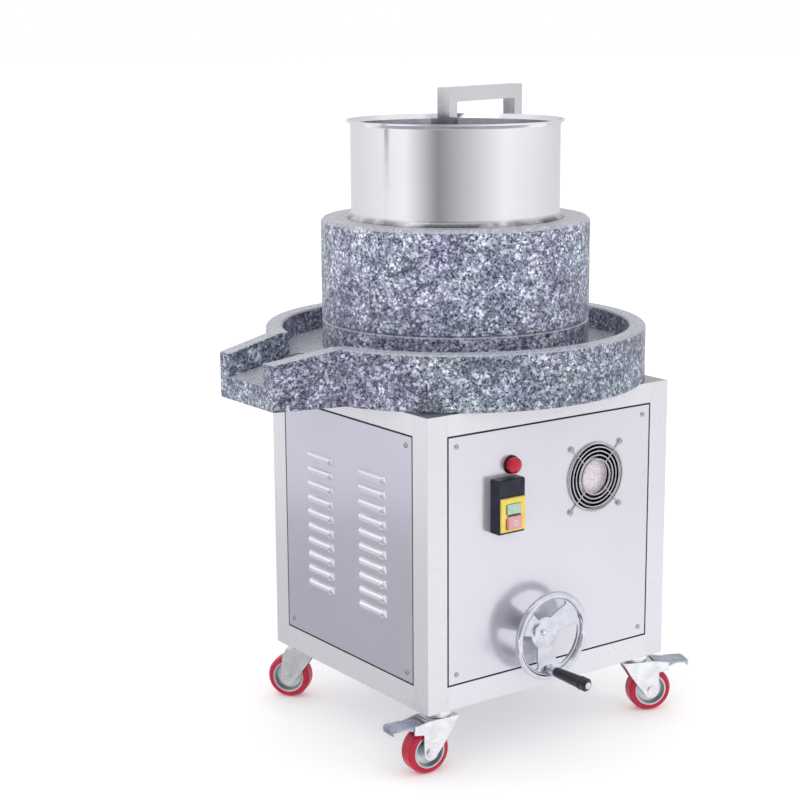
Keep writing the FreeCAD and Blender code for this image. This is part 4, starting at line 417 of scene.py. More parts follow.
# Steel of the screws: a dark head with a painted highlight along its rounded edge.
screw_steel, screw_shader = new_material("screw steel", 1.0, 0.22)
screw_steel_edges = placed(screw_steel, "soft_edges")
wire(screw_steel, mixed(screw_steel.node_tree, screw_steel_edges.outputs["Edge"], (0.42, 0.42, 0.45),
                        (0.86, 0.86, 0.88)), screw_shader, "Base Color")


def pan_screw():
    """Pan head with a cross recess, standing on local z = 0."""
    bm = lathed(SCREW_PROFILE, SCREW_SIDES, close_top=False)
    recess(bm, SCREW_PROFILE, RECESS_HALF_LENGTH, RECESS_HALF_WIDTH, RECESS_DEPTH)
    return bm


def panel_screws(panel, outward):
    """The four corner screws of a panel, each turned to its own angle."""
    low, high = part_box(panel)
    axis, across, face = panel_face(panel, outward)
    matrices = []
    for side in (low[across] + PANEL_SCREW_INSET, high[across] - PANEL_SCREW_INSET):
        for height in (low[2] + PANEL_SCREW_INSET, high[2] - PANEL_SCREW_INSET):
            spot = Vector((0.0, 0.0, height))
            spot[axis] = face
            spot[across] = side
            turn = side * SCREW_TURN_ACROSS + height * SCREW_TURN_UP
            matrices.append(facing(spot, outward) @ Matrix.Rotation(turn, 4, "Z"))
    piece(panel + "_screws", pan_screw(), matrices, "cabinet", screw_steel)


for panel, outward in PANELS.items():
    panel_screws(panel, outward)


# ---------------------------------------------------------------------------------------------------------
# Stones: one block of blue-grey granite each. Sides are bush-hammered and left speckled, flat tops and the
# trough are ground smooth, and their faces that look up are painted pale as a reflection of the bright room.
# Grinding faces are dressed with furrows.
# ---------------------------------------------------------------------------------------------------------

def blended(tree, value, stops):
    """Colour that runs through the (position, colour) stops as the value goes from 0 to 1."""
    ramp = add(tree, "ValToRGB")
    while len(ramp.color_ramp.elements) < len(stops):
        ramp.color_ramp.elements.new(0.5)
    for element, (position, colour) in zip(ramp.color_ramp.elements, stops):
        element.position = position
        element.color = (*colour, 1.0)
    tree.links.new(value, ramp.inputs["Fac"])
    return ramp.outputs["Color"]


GRAIN_RAGGEDNESS = 0.0045       # how far the outline of a crystal wanders


def make_granite():
    """Crystals of quartz, feldspar and mica in two sizes, with slow shifts of tint across the block."""
    group, ends, out = new_group(
        "granite", [("Grain", "Float", 260.0), ("Drift", "Float", 5.0), ("Shade", "Float", 1.0)],
        [("Colour", "Color"), ("Pits", "Float"), ("Mica", "Float")])
    where = add(group, "TexCoord")
    warp = noise(group, where.outputs["Object"], Scale=420.0, Detail=2.0, Roughness=0.5)
    ragged = add(group, "VectorMath", operation="MULTIPLY_ADD")
    group.links.new(warp.outputs["Color"], ragged.inputs[0])
    ragged.inputs[1].default_value = (GRAIN_RAGGEDNESS, GRAIN_RAGGEDNESS, GRAIN_RAGGEDNESS)
    group.links.new(where.outputs["Object"], ragged.inputs[2])

    def crystals(fineness, stops):
        """Cells of one size, each with the tint of a mineral, and the random numbers behind them."""
        cells = add(group, "TexVoronoi", feature="F1", Randomness=1.0)
        group.links.new(ragged.outputs[0], cells.inputs["Vector"])
        group.links.new(sum_of(group, "MULTIPLY", ends.outputs["Grain"], fineness), cells.inputs["Scale"])
        parts = add(group, "SeparateColor")
        group.links.new(cells.outputs["Color"], parts.inputs["Color"])
        return blended(group, parts.outputs[0], stops), parts

    navy = (0.012, 0.015, 0.036)
    slate = (0.060, 0.072, 0.125)
    blue_grey = (0.235, 0.265, 0.380)
    pale = (0.620, 0.655, 0.800)
    white = (0.900, 0.920, 0.985)
    coarse, coarse_parts = crystals(
        1.0, ((0.12, navy), (0.24, slate), (0.40, slate), (0.50, blue_grey), (0.66, blue_grey), (0.78, pale),
              (0.95, white)))
    fine, fine_parts = crystals(
        2.1, ((0.18, navy), (0.34, slate), (0.50, blue_grey), (0.70, pale), (0.92, white)))
    both = mixed(group, 0.42, coarse, fine)
    clumps = noise(group, where.outputs["Object"], Scale=48.0, Detail=4.0, Roughness=0.65)
    clumped = mixed(group, graded(group, clumps.outputs["Fac"], 0.38, 0.62, 0.0, 1.0), (0.55, 0.55, 0.60),
                    (1.38, 1.38, 1.34))
    drift = noise(group, where.outputs["Object"], Detail=3.0, Roughness=0.6)
    group.links.new(ends.outputs["Drift"], drift.inputs["Scale"])
    tint = mixed(group, graded(group, drift.outputs["Fac"], 0.36, 0.64, 0.0, 1.0), (1.02, 1.10, 1.08),
                 (0.93, 0.87, 1.00))
    veins = noise(group, where.outputs["Object"], Scale=17.0, Detail=3.0, Roughness=0.6, Distortion=0.5)
    veined = mixed(group, graded(group, veins.outputs["Fac"], 0.36, 0.64, 0.0, 1.0), (0.80, 0.80, 0.86),
                   (1.20, 1.20, 1.14))
    stone = mixed(group, 1.0, mixed(group, 1.0, both, clumped, "MULTIPLY"), veined, "MULTIPLY")
    tinted = mixed(group, 1.0, stone, tint, "MULTIPLY")
    shaded = add(group, "VectorMath", operation="SCALE")
    group.links.new(tinted, shaded.inputs[0])
    group.links.new(ends.outputs["Shade"], shaded.inputs["Scale"])
    group.links.new(shaded.outputs[0], out.inputs["Colour"])
    group.links.new(fine_parts.outputs[1], out.inputs["Pits"])
    group.links.new(graded(group, coarse_parts.outputs[0], 0.1, 0.25, 1.0, 0.0), out.inputs["Mica"])


make_granite()


PIT_DEPTH = 0.00035


def dress_stone(node, grain, drift, shade):
    """Granite of one block: speckled sides, ground tops painted pale as a reflection, and broken edges."""
    granite, shader = new_material(node + " granite", 0.0, 0.42, Specular_IOR_Level=0.5)
    grains = placed(granite, "granite", Grain=grain, Drift=drift, Shade=shade)
    edges = placed(granite, "soft_edges", Wear=0.5)
    tree = granite.node_tree
    geometry = add(tree, "NewGeometry")
    upward = add(tree, "SeparateXYZ")
    tree.links.new(geometry.outputs["Normal"], upward.inputs[0])
    # Faces that look up are painted pale, a painted reflection; they are ground smoother too.
    faces_up = graded(tree, upward.outputs["Z"], 0.35, 0.8, 0.0, 1.0)
    painted_top_sheen = graded(tree, faces_up, 0.0, 1.0, 0.0, 0.84)
    sheened_stone = mixed(tree, painted_top_sheen, grains.outputs["Colour"], (0.50, 0.505, 0.56))
    broken_edge = graded(tree, edges.outputs["Edge"], 0.0, 1.0, 0.0, 0.5)
    wire(granite, mixed(tree, broken_edge, sheened_stone, (0.58, 0.60, 0.68)), shader, "Base Color")
    stone_gloss = graded(tree, faces_up, 0.0, 1.0, 0.46, 0.30)
    mica_gloss = sum_of(tree, "MULTIPLY_ADD", grains.outputs["Mica"], -0.14, stone_gloss)
    wire(granite, mica_gloss, shader, "Roughness")
    relief(granite, shader, grains.outputs["Pits"], PIT_DEPTH, edges.outputs["Normal"])
    dress(granite, node)


# The bed stone's granite is scaled darker than the runner's: painted shade on the lower block.
dress_stone("bed_stone", 240.0, 6.0, 0.78)
dress_stone("runner_stone", 240.0, 6.0, 0.98)


# ---------------------------------------------------------------------------------------------------------
# Drive of the stones: turned steel shaft and sleeve, a bronze bush in the bed stone and a cast rynd let into
# the runner. Plain thick plate under the bed stone. All wiped with oil, none of it painted.
# ---------------------------------------------------------------------------------------------------------

def make_turned():
    """Fine tool marks round the axis of a lathe-cut piece, with oily smears."""
    group, ends, out = new_group(
        "tool_marks", [("Pitch", "Float", 900.0)], [("Tone", "Float"), ("Rough", "Float"), ("Marks", "Float")])
    where = add(group, "TexCoord")
    split = add(group, "SeparateXYZ")
    group.links.new(where.outputs["Object"], split.inputs[0])
    along = add(group, "CombineXYZ")
    group.links.new(split.outputs["Z"], along.inputs["Z"])
    marks = noise(group, along.outputs[0], Detail=2.0, Roughness=0.7)
    group.links.new(ends.outputs["Pitch"], marks.inputs["Scale"])
    oil = noise(group, where.outputs["Object"], Scale=30.0, Detail=4.0, Roughness=0.6, Distortion=1.0)
    group.links.new(graded(group, oil.outputs["Fac"], 0.3, 0.7, 0.0, 1.0), out.inputs["Tone"])
    group.links.new(graded(group, oil.outputs["Fac"], 0.3, 0.7, 0.05, -0.08), out.inputs["Rough"])
    group.links.new(marks.outputs["Fac"], out.inputs["Marks"])


def make_cast_skin():
    """Sand-cast or moulded skin: low lumps, fine grit and darker hollows."""
    group, ends, out = new_group(
        "cast_skin", [("Grit", "Float", 700.0)], [("Tone", "Float"), ("Rough", "Float"), ("Lumps", "Float")])
    where = add(group, "TexCoord")
    grit = noise(group, where.outputs["Object"], Detail=3.0, Roughness=0.6)
    group.links.new(ends.outputs["Grit"], grit.inputs["Scale"])
    lumps = noise(group, where.outputs["Object"], Scale=60.0, Detail=3.0, Roughness=0.5)
    group.links.new(graded(group, lumps.outputs["Fac"], 0.35, 0.65, 0.0, 1.0), out.inputs["Tone"])
    group.links.new(graded(group, grit.outputs["Fac"], 0.3, 0.7, -0.05, 0.07), out.inputs["Rough"])
    group.links.new(sum_of(group, "ADD", grit.outputs["Fac"], lumps.outputs["Fac"]), out.inputs["Lumps"])


make_turned()
make_cast_skin()


def worked(name, group_name, detail, dark, light, metallic, roughness, depth, edge=None, **shader_values):
    """A material whose tone, roughness and relief come from one finish group, with softened edges; detail is
    that group's first input, and edge the colour that handling leaves on the edges."""
    material, shader = new_material(name, metallic, roughness, **shader_values)
    skin = placed(material, group_name)
    skin.inputs[0].default_value = detail
    edges = placed(material, "soft_edges")
    tree = material.node_tree
    colour = mixed(tree, skin.outputs["Tone"], dark, light)
    if edge is not None:
        colour = mixed(tree, edges.outputs["Edge"], colour, edge)
    wire(material, colour, shader, "Base Color")
    wire(material, sum_of(tree, "ADD", skin.outputs["Rough"], roughness), shader, "Roughness")
    relief(material, shader, skin.outputs[2], depth, edges.outputs["Normal"])
    return material


turned_steel = worked("turned steel", "tool_marks", 900.0, (0.40, 0.40, 0.42), (0.60, 0.60, 0.62), 1.0, 0.30,
                      0.00002)
bush_bronze = worked("bush bronze", "tool_marks", 900.0, (0.52, 0.35, 0.15), (0.72, 0.52, 0.26), 1.0, 0.32,
                     0.00002)
cast_grey = worked("grey cast paint", "cast_skin", 700.0, (0.13, 0.14, 0.16), (0.19, 0.20, 0.22), 0.0, 0.50, 0.0002,
                   (0.30, 0.31, 0.33))
mill_plate = stainless("mill plate", (0.42, 0.42, 0.44), (0.58, 0.58, 0.60), 0.38, (14.0, 1200.0, 1200.0))
dress(turned_steel, "main_shaft", "output_sleeve", "motor_rotor", "lift_screw", "thrust_bearing",
      "handwheel_shaft")
dress(bush_bronze, "guide_bush")
dress(cast_grey, "rynd", "gearbox_housing", "jack_housing", "shaft_bearing")
dress(mill_plate, "top_plate")


# ---------------------------------------------------------------------------------------------------------
# Motor: finned aluminium body and pressed cowl under slate-blue enamel, flange-fixed to the worm gearbox
# inside the cabinet.
# ---------------------------------------------------------------------------------------------------------

motor_enamel = worked("motor enamel", "cast_skin", 500.0, (0.045, 0.070, 0.115), (0.065, 0.095, 0.150), 0.0, 0.34,
                      0.00012, (0.14, 0.18, 0.25), Coat_Weight=0.3, Coat_Roughness=0.2)
dress(motor_enamel, "motor_body", "motor_cowl")


# ---------------------------------------------------------------------------------------------------------
# Hopper: 1.5 mm stainless sheet rolled into a cylinder, seam-welded, brushed round its girth, with a hemmed
# lip above and a flared foot that stands loose on the runner.
# ---------------------------------------------------------------------------------------------------------

HOPPER_LINE_DEPTH = 0.000002
hopper_steel = stainless("hopper steel", (0.74, 0.74, 0.785), (0.84, 0.84, 0.885), 0.16, (9.0, 9.0, 1700.0),
                         HOPPER_LINE_DEPTH)
hopper_tree = hopper_steel.node_tree
hopper_shader = hopper_tree.nodes["Principled BSDF"]
hopper_shader.inputs["Anisotropic"].default_value = 0.7
hopper_shader.inputs["Anisotropic Rotation"].default_value = 0.25
girth = add(hopper_tree, "Tangent", direction_type="RADIAL", axis="Z")
wire(hopper_steel, girth.outputs["Tangent"], hopper_shader, "Tangent")
dress(hopper_steel, "hopper")

# Painted shade in the corner where the foot stands on the runner: a dark line along the foot, in patches.
FOOT_SHADE_HEIGHT = 0.0110
FOOT_SHADE_THICK = 0.3               # share of that height below which the painted shade is darkest
FOOT_SHADE_COLOUR = (0.075, 0.07, 0.075)

hopper_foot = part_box("hopper")[0].z
hopper_where = add(hopper_tree, "TexCoord").outputs["Object"]
hopper_split = add(hopper_tree, "SeparateXYZ")
hopper_tree.links.new(hopper_where, hopper_split.inputs[0])
foot_shade_depth = graded(hopper_tree, hopper_split.outputs["Z"], hopper_foot + FOOT_SHADE_HEIGHT * FOOT_SHADE_THICK,
                     hopper_foot + FOOT_SHADE_HEIGHT, 1.0, 0.0)
foot_shade_patches = noise(hopper_tree, hopper_where, Scale=11.0, Detail=3.0, Roughness=0.6)
foot_shade = sum_of(hopper_tree, "MULTIPLY", foot_shade_depth,
               graded(hopper_tree, foot_shade_patches.outputs["Fac"], 0.42, 0.58, 0.12, 0.92))
unshaded_sheet = hopper_shader.inputs["Base Color"].links[0].from_socket
wire(hopper_steel, mixed(hopper_tree, foot_shade, unshaded_sheet, FOOT_SHADE_COLOUR), hopper_shader, "Base Color")


# ---------------------------------------------------------------------------------------------------------
# Stirrer arm: 25 mm square stainless tube, mitred and welded, dropped into a socket that is bolted to the
# rear of the right-hand side.
# ---------------------------------------------------------------------------------------------------------

tube_steel = stainless("tube steel", (0.64, 0.63, 0.67), (0.73, 0.72, 0.76), 0.13, (1500.0, 1500.0, 16.0),
                       0.000004)
bright_zinc = worked("bright zinc", "cast_skin", 900.0, (0.74, 0.75, 0.79), (0.88, 0.89, 0.92), 1.0, 0.24, 0.00002,
                     (0.95, 0.95, 0.97))
dress(tube_steel, "stirrer_post", "stirrer_crossbar", "stirrer_leg", "arm_socket")
dress(bright_zinc, "socket_bolts")


# ---------------------------------------------------------------------------------------------------------
# Handwheel: cast, ground and chrome-plated, three broad arms dished back from the rim. Tapered phenolic
# grip turns on a spindle held by a slotted screw.
# ---------------------------------------------------------------------------------------------------------

# The chrome's tone runs in soft patches: a painted reflection.
chrome = worked("chrome plate", "cast_skin", 120.0, (0.59, 0.60, 0.67), (0.69, 0.70, 0.77), 1.0, 0.06, 0.00003)
phenolic = worked("black phenolic", "cast_skin", 900.0, (0.007, 0.008, 0.016), (0.013, 0.015, 0.026), 0.0, 0.18,
                  0.00003, (0.05, 0.05, 0.06))
dress(chrome, "handwheel")
dress(phenolic, "crank_grip")

# Washer and cap nut that hold the wheel on its shaft, and the slotted head at the end of the grip's spindle.
HUB_REACH = 0.012               # how far from the wheel's axis its hub is searched for
WASHER_PROFILE = ((0.0078, 0.0), (0.0078, 0.0009), (0.0074, 0.0013), (0.0052, 0.0013))
CAP_NUT_PROFILE = ((0.0052, 0.0010), (0.0052, 0.0040), (0.0042, 0.0056), (0.0024, 0.0066), (0.0008, 0.0069))
SLOT_HEAD_PROFILE = ((0.0054, 0.0), (0.0054, 0.0003), (0.0049, 0.0010), (0.0040, 0.0014))
SLOT_HALF_LENGTH = SLOT_HEAD_PROFILE[-1][0] * 0.86
SLOT_HALF_WIDTH = 0.0006
SLOT_DEPTH = 0.0009
SLOT_TURN = 0.6
NUT_SIDES = 36
TOWARDS_FRONT = (0, -1, 0)

wheel_axis = Vector(joints["handwheel_turn"]["pos_m"])
wheel_points = [vertex.co for vertex in nodes["handwheel"].data.vertices]
hub_face = min(point.y for point in wheel_points
               if math.hypot(point.x - wheel_axis.x, point.z - wheel_axis.z) < HUB_REACH)
hub_spot = Vector((wheel_axis.x, hub_face, wheel_axis.z))
on_hub = facing(hub_spot, TOWARDS_FRONT)
piece("wheel_washer", lathed(WASHER_PROFILE, NUT_SIDES, close_top=False), [on_hub], "wheel_control", bright_zinc)
piece("wheel_nut", lathed(CAP_NUT_PROFILE, NUT_SIDES), [on_hub], "wheel_control", bright_zinc)


def front_middle(node):
    """Middle of a node's foremost face."""
    low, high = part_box(node)
    return Vector(((low.x + high.x) / 2, low.y, (low.z + high.z) / 2))


slotted = lathed(SLOT_HEAD_PROFILE, NUT_SIDES, close_top=False)
recess(slotted, SLOT_HEAD_PROFILE, SLOT_HALF_LENGTH, SLOT_HALF_WIDTH, SLOT_DEPTH, cross=False)
on_grip = facing(front_middle("crank_grip"), TOWARDS_FRONT) @ Matrix.Rotation(SLOT_TURN, 4, "Z")
piece("grip_screw", slotted, [on_grip], "wheel_control", screw_steel)


# ---------------------------------------------------------------------------------------------------------
# Controls: moulded switch body with a yellow collar round a green start and a red stop button, and a red
# pilot lamp above it in a black bezel.
# ---------------------------------------------------------------------------------------------------------

slate_mould = worked("slate moulding", "cast_skin", 1400.0, (0.009, 0.011, 0.024), (0.017, 0.021, 0.040), 0.0, 0.32,
                     0.00004, (0.12, 0.13, 0.16), Specular_IOR_Level=0.3)
yellow_mould = worked("yellow moulding", "cast_skin", 1400.0, (0.78, 0.60, 0.08), (0.86, 0.68, 0.12), 0.0, 0.32,
                      0.00003, (0.95, 0.84, 0.36))
green_mould = worked("green button", "cast_skin", 1400.0, (0.36, 0.56, 0.46), (0.42, 0.62, 0.52), 0.0, 0.26,
                     0.00002, (0.55, 0.80, 0.68))
red_mould = worked("red button", "cast_skin", 1400.0, (0.66, 0.32, 0.33), (0.72, 0.37, 0.38), 0.0, 0.26, 0.00002,
                   (0.86, 0.58, 0.58))
black_mould = worked("black moulding", "cast_skin", 1200.0, (0.006, 0.006, 0.008), (0.012, 0.012, 0.014), 0.0, 0.42,
                     0.00004, (0.04, 0.04, 0.045), Specular_IOR_Level=0.3)
lens_red = worked("lamp lens", "cast_skin", 260.0, (0.40, 0.004, 0.018), (0.54, 0.008, 0.030), 0.0, 0.12, 0.00010,
                  None, Specular_IOR_Level=0.3, Coat_Weight=0.15, Coat_Roughness=0.06)
dress(slate_mould, "switch_housing")
dress(yellow_mould, "switch_collar")
dress(green_mould, "start_button")
dress(red_mould, "stop_button")
dress(black_mould, "lamp_bezel", "cable_gland")
dress(lens_red, "lamp_lens")

# Bar of the start button and ring of the stop button, moulded proud of their faces.
MARK_PROUD = 0.0003
MARK_BAR = (0.0013, 0.0070)
MARK_RING_RADII = (0.0042, 0.0030)
MARK_RING_SIDES = 36

mark_white = worked("mark white", "cast_skin", 1400.0, (0.74, 0.74, 0.72), (0.82, 0.82, 0.80), 0.0, 0.35, 0.00002)


def button_face(button):
    """Matrix of the middle of a button's face, local +Z outwards and local +Y up."""
    return Matrix.Translation(front_middle(button)) @ Matrix.Rotation(math.pi / 2, 4, "X")


bar = bmesh.new()
bmesh.ops.create_cube(bar, size=1.0, matrix=Matrix.Diagonal((*MARK_BAR, MARK_PROUD, 1.0)))
bmesh.ops.translate(bar, verts=bar.verts, vec=(0, 0, MARK_PROUD / 2))
bmesh.ops.bevel(bar, geom=list(bar.edges), offset=MARK_PROUD / 3, segments=1, affect="EDGES")
piece("start_mark", bar, [button_face("start_button")], "start", mark_white)

outer_mark, inner_mark = MARK_RING_RADII
ring_profile = ((outer_mark, 0.0), (outer_mark, MARK_PROUD * 0.7), (outer_mark - MARK_PROUD, MARK_PROUD),
                (inner_mark + MARK_PROUD, MARK_PROUD), (inner_mark, MARK_PROUD * 0.7), (inner_mark, 0.0))
piece("stop_mark", lathed(ring_profile, MARK_RING_SIDES, close_top=False), [button_face("stop_button")], "stop",
      mark_white)


# ---------------------------------------------------------------------------------------------------------
# Fan: 120 mm axial fan behind a round hole in the front panel, under a welded wire guard that four screws
# hold through its eyes. Moulded rotor with a bare paper disc on its hub.
# ---------------------------------------------------------------------------------------------------------

FAN_SCREW_SPACING = 0.105
GUARD_EYE_THICKNESS = 0.0020    # the screws sit on the eyes of the guard, not on the panel
HUB_DISC_PROFILE = ((0.0304, 0.0), (0.0304, 0.0003), (0.0300, 0.0005), (0.0090, 0.0005), (0.0086, 0.0002),
                    (0.0040, 0.0002))
HUB_DISC_SIDES = 72

guard_wire = worked("guard wire", "cast_skin", 800.0, (0.44, 0.44, 0.48), (0.56, 0.56, 0.60), 1.0, 0.20, 0.00002)
dress(guard_wire, "fan_guard")
dress(black_mould, "fan_housing", "fan_rotor")

fan_axis = Vector(joints["fan_spin"]["pos_m"])
eye_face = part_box("front_panel")[0].y - GUARD_EYE_THICKNESS
fan_screw_places = []
for side_x in (-0.5, 0.5):
    for side_z in (-0.5, 0.5):
        spot = Vector((fan_axis.x + side_x * FAN_SCREW_SPACING, eye_face, fan_axis.z + side_z * FAN_SCREW_SPACING))
        fan_screw_places.append(facing(spot, TOWARDS_FRONT) @ Matrix.Rotation(side_x + 2 * side_z, 4, "Z"))
piece("fan_screws", pan_screw(), fan_screw_places, "cabinet", screw_steel)

# Silvered disc on the rotor's hub, with faint pressed rings and handling smudges.
hub_foil, hub_foil_shader = new_material("hub foil", 0.35, 0.38)
foil_tree = hub_foil.node_tree
foil_where = add(foil_tree, "TexCoord").outputs["Object"]
foil_centre = add(foil_tree, "VectorMath", operation="SUBTRACT")
foil_tree.links.new(foil_where, foil_centre.inputs[0])
foil_centre.inputs[1].default_value = fan_axis
foil_rings = add(foil_tree, "TexWave", wave_type="RINGS", rings_direction="Y", Scale=95.0, Distortion=1.2,
                 Detail=2.0)
foil_tree.links.new(foil_centre.outputs[0], foil_rings.inputs["Vector"])
foil_smudge = noise(foil_tree, foil_where, Scale=240.0, Detail=3.0, Roughness=0.6)
foil_dark = mixed(foil_tree, graded(foil_tree, foil_smudge.outputs["Fac"], 0.42, 0.62, 0.0, 1.0),
                  (0.72, 0.64, 0.71), (0.36, 0.30, 0.36))
foil_mask = graded(foil_tree, foil_rings.outputs["Fac"], 0.35, 0.75, 0.15, 0.85)
wire(hub_foil, mixed(foil_tree, foil_mask, foil_dark, (0.84, 0.78, 0.84)), hub_foil_shader, "Base Color")
wire(hub_foil, graded(foil_tree, foil_smudge.outputs["Fac"], 0.3, 0.7, 0.28, 0.48), hub_foil_shader, "Roughness")
hub_front = Vector((fan_axis.x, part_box("fan_rotor")[0].y, fan_axis.z))
piece("fan_hub_disc", lathed(HUB_DISC_PROFILE, HUB_DISC_SIDES), [facing(hub_front, TOWARDS_FRONT)], "fan",
      hub_foil)


# ---------------------------------------------------------------------------------------------------------
# Castors: zinc-plated pressed forks on threaded stems, cast aluminium wheel centres and crimson cast
# polyurethane treads. The two front ones carry folded brake pedals.
# ---------------------------------------------------------------------------------------------------------

CASTORS = ("front_left", "front_right", "rear_left", "rear_right")

fork_zinc = worked("fork zinc", "cast_skin", 600.0, (0.72, 0.73, 0.77), (0.86, 0.87, 0.90), 1.0, 0.28, 0.00002,
                   (0.97, 0.97, 0.98))
cast_aluminium = worked("cast aluminium", "cast_skin", 900.0, (0.50, 0.54, 0.56), (0.64, 0.68, 0.70), 1.0, 0.36,
                        0.00008, (0.85, 0.86, 0.88))
crimson_tread = worked("crimson tread", "cast_skin", 300.0, (0.42, 0.006, 0.034), (0.52, 0.010, 0.050), 0.0, 0.34,
                       0.00004, (0.54, 0.02, 0.07), Specular_IOR_Level=0.35)
dress(bright_zinc, "castor_stems")
for corner in CASTORS:
    dress(fork_zinc, "fork_" + corner)
    dress(cast_aluminium, "hub_" + corner)
    dress(crimson_tread, "tyre_" + corner)
pedal_steel = worked("pedal steel", "cast_skin", 600.0, (0.34, 0.37, 0.46), (0.50, 0.54, 0.64), 1.0, 0.26,
                     0.00003, (0.85, 0.86, 0.88))
dress(pedal_steel, "pedal_front_left", "pedal_front_right")


# ---------------------------------------------------------------------------------------------------------
# Studio: a pale seamless floor in a bright even room, a large soft lamp from the front left and one from
# above, a ring of paper that the steel mirrors, and the camera.
# ---------------------------------------------------------------------------------------------------------

FLOOR_SIZE = 160.0
FLOOR_LIFT = 0.16               # light given back by the paper itself, so that its shadows stay pale


def plane(name, points, material):
    """Four-cornered sheet of one material, with a map that runs from its first edge to the one opposite."""
    mesh = bpy.data.meshes.new(name)
    mesh.from_pydata(points, [], [(0, 1, 2, 3)])
    spread = mesh.uv_layers.new(name="UVMap")
    for loop, place in zip(spread.data, ((0, 0), (1, 0), (1, 1), (0, 1))):
        loop.uv = place
    return placed_in_studio(name, mesh, material)


def placed_in_studio(name, mesh, material):
    """An object of the studio, which is no part of the machine."""
    mesh.materials.append(material)
    item = bpy.data.objects.new(name, mesh)
    bpy.context.scene.collection.objects.link(item)
    return item


floor_paint, floor_shader = new_material("floor", 0.0, 0.7)
floor_tree = floor_paint.node_tree
floor_spots = add(floor_tree, "TexNoise", Scale=3.0, Detail=2.0)
floor_white = mixed(floor_tree, graded(floor_tree, floor_spots.outputs["Fac"], 0.3, 0.7, 0.0, 1.0),
                    (0.93, 0.93, 0.932), (0.95, 0.95, 0.952))
wire(floor_paint, floor_white, floor_shader, "Base Color")
floor_shader.inputs["Emission Color"].default_value = (1.0, 1.0, 1.0, 1.0)
floor_shader.inputs["Emission Strength"].default_value = FLOOR_LIFT
half_floor = FLOOR_SIZE / 2
plane("floor", [(-half_floor, -half_floor, 0), (half_floor, -half_floor, 0), (half_floor, half_floor, 0),
                (-half_floor, half_floor, 0)], floor_paint)

room = bpy.data.worlds.new("room")
room.use_nodes = True
room.node_tree.nodes["Background"].inputs["Color"].default_value = (1.0, 1.0, 1.0, 1.0)
room.node_tree.nodes["Background"].inputs["Strength"].default_value = 1.0
bpy.context.scene.world = room


def soft_lamp(name, place, aim, size, power):
    """Square area lamp that points at aim."""
    lamp = bpy.data.lights.new(name, "AREA")
    lamp.shape = "RECTANGLE"
    lamp.size = size
    lamp.size_y = size
    lamp.energy = power
    holder = bpy.data.objects.new(name, lamp)
    bpy.context.scene.collection.objects.link(holder)
    holder.location = place
    holder.rotation_euler = (Vector(aim) - Vector(place)).to_track_quat("-Z", "Y").to_euler()


soft_lamp("front_lamp", (-1.9, -2.2, 2.0), (0.0, 0.0, 0.6), 1.6, 5.0)
soft_lamp("top_lamp", (-0.4, -0.2, 3.0), (0.0, 0.0, 0.8), 2.0, 6.0)

# Four sheets of paper stood in a ring round the machine, white, dark, white and grey, each blending into the next.
# Only shiny surfaces see them. The pairs are an angle round the hopper in degrees and how bright the paper is there.
SURROUND_DISTANCE = 1.6
SURROUND_HEIGHT = 2.2
SURROUND_MIDDLE = Vector((0.0465, 0.0311, 0.0))
SURROUND_SIDES = 96
SURROUND_PEAK = 1.1
SURROUND = ((-180, 1.1), (-145, 0.3), (-75, 1.1), (45, 0.7), (180, 1.1))

# A gap between two sheets of it, which the inner face of the arm's post mirrors.
GAP_ANGLE = 157.1
GAP_HEIGHT = 0.932
GAP_HALF_ANGLE = 2.8
GAP_HALF_HEIGHT = 0.055


def lit_paper(name):
    """Paper that gives an even light of its own: the material, and the shader that makes the light."""
    paper = bpy.data.materials.new(name)
    paper.use_nodes = True
    paper.node_tree.nodes.clear()
    glow = add(paper.node_tree, "Emission")
    paper.node_tree.links.new(glow.outputs[0], add(paper.node_tree, "OutputMaterial").inputs["Surface"])
    return paper, glow


def only_mirrored(item):
    """The camera and the matt surfaces don't see the paper."""
    item.visible_camera = False
    item.visible_diffuse = False
    item.visible_shadow = False


surround_paper, surround_glow = lit_paper("surround paper")
paper_tree = surround_paper.node_tree
paper_split = add(paper_tree, "SeparateXYZ")
paper_tree.links.new(add(paper_tree, "TexCoord").outputs["Object"], paper_split.inputs[0])
paper_angle = sum_of(paper_tree, "ARCTAN2", paper_split.outputs["Y"], paper_split.outputs["X"])
paper_stops = [((angle + 180) / 360, (level / SURROUND_PEAK,) * 3) for angle, level in SURROUND]
paper_tree.links.new(blended(paper_tree, graded(paper_tree, paper_angle, -math.pi, math.pi, 0.0, 1.0), paper_stops),
                     surround_glow.inputs["Color"])
beside_gap = sum_of(paper_tree, "COMPARE", paper_angle, math.radians(GAP_ANGLE), math.radians(GAP_HALF_ANGLE))
level_with_gap = sum_of(paper_tree, "COMPARE", paper_split.outputs["Z"], GAP_HEIGHT, GAP_HALF_HEIGHT)
in_gap = sum_of(paper_tree, "MULTIPLY", beside_gap, level_with_gap)
paper_tree.links.new(graded(paper_tree, in_gap, 0.0, 1.0, SURROUND_PEAK, 0.0), surround_glow.inputs["Strength"])
surround_loops = bmesh.new()
bridge(surround_loops, ring(surround_loops, SURROUND_DISTANCE, 0.0, SURROUND_SIDES),
       ring(surround_loops, SURROUND_DISTANCE, SURROUND_HEIGHT, SURROUND_SIDES))
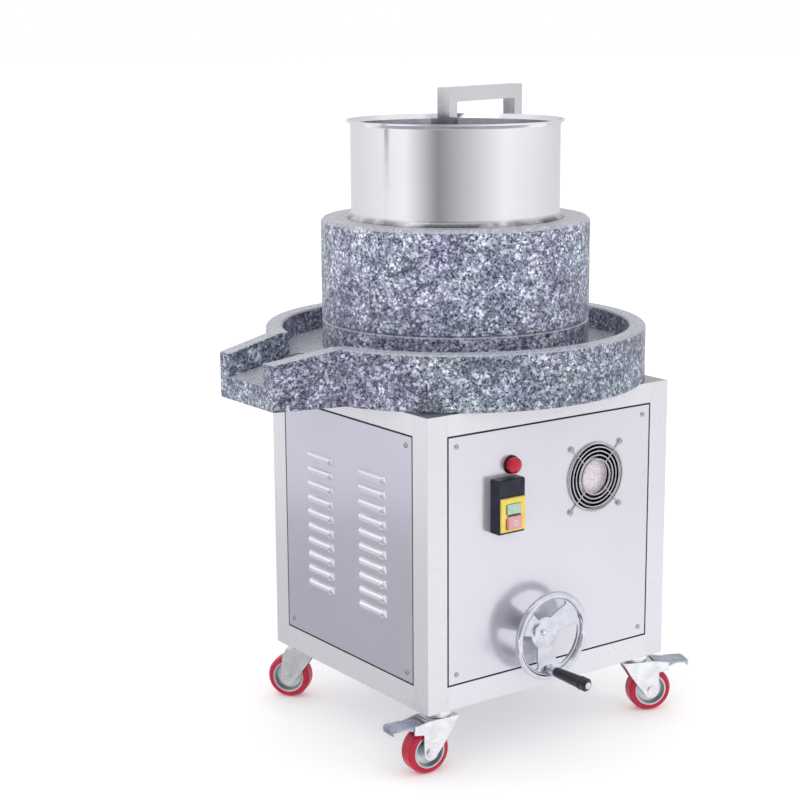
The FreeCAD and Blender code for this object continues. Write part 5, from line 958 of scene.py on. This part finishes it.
surround_mesh = bpy.data.meshes.new("surround")
surround_loops.to_mesh(surround_mesh)
surround_loops.free()
surround = placed_in_studio("surround", surround_mesh, surround_paper)
surround.location = SURROUND_MIDDLE
only_mirrored(surround)

# A grey sheet laid on the floor darkens the left side. It is a shade lighter towards the back.
CARD_LEFT, CARD_RIGHT = -1.9, -0.24
CARD_FRONT, CARD_BACK = -0.5, 1.9
CARD_HEIGHT = 0.002
CARD_FRONT_LEVEL, CARD_BACK_LEVEL = 0.55, 0.58

card_paper, card_glow = lit_paper("floor_card")
card_tree = card_paper.node_tree
card_split = add(card_tree, "SeparateXYZ")
card_tree.links.new(add(card_tree, "UVMap").outputs["UV"], card_split.inputs[0])
card_tree.links.new(graded(card_tree, card_split.outputs["Y"], 0.0, 1.0, CARD_FRONT_LEVEL, CARD_BACK_LEVEL),
                    card_glow.inputs["Strength"])
only_mirrored(plane("floor_card", [(CARD_LEFT, CARD_FRONT, CARD_HEIGHT), (CARD_RIGHT, CARD_FRONT, CARD_HEIGHT),
                                   (CARD_RIGHT, CARD_BACK, CARD_HEIGHT), (CARD_LEFT, CARD_BACK, CARD_HEIGHT)],
                    card_paper))

CAMERA_PLACE = Vector((-1.7895, -2.3699, 1.1700))
CAMERA_TARGET = Vector((-0.0303, 0.0861, 0.5363))
CAMERA_ROLL = math.radians(-0.368)
FOCAL_LENGTH = 81.2
SENSOR_WIDTH = 36.0
FARTHEST_SEEN = 60.0

lens = bpy.data.cameras.new("camera")
lens.lens = FOCAL_LENGTH
lens.sensor_width = SENSOR_WIDTH
lens.clip_end = FARTHEST_SEEN
camera = bpy.data.objects.new("camera", lens)
bpy.context.scene.collection.objects.link(camera)
camera.location = CAMERA_PLACE
look = (CAMERA_TARGET - CAMERA_PLACE).to_track_quat("-Z", "Y").to_matrix().to_4x4()
camera.rotation_euler = (look @ Matrix.Rotation(CAMERA_ROLL, 4, "Z")).to_euler()
bpy.context.scene.camera = camera
bpy.context.scene.view_settings.view_transform = "Standard"
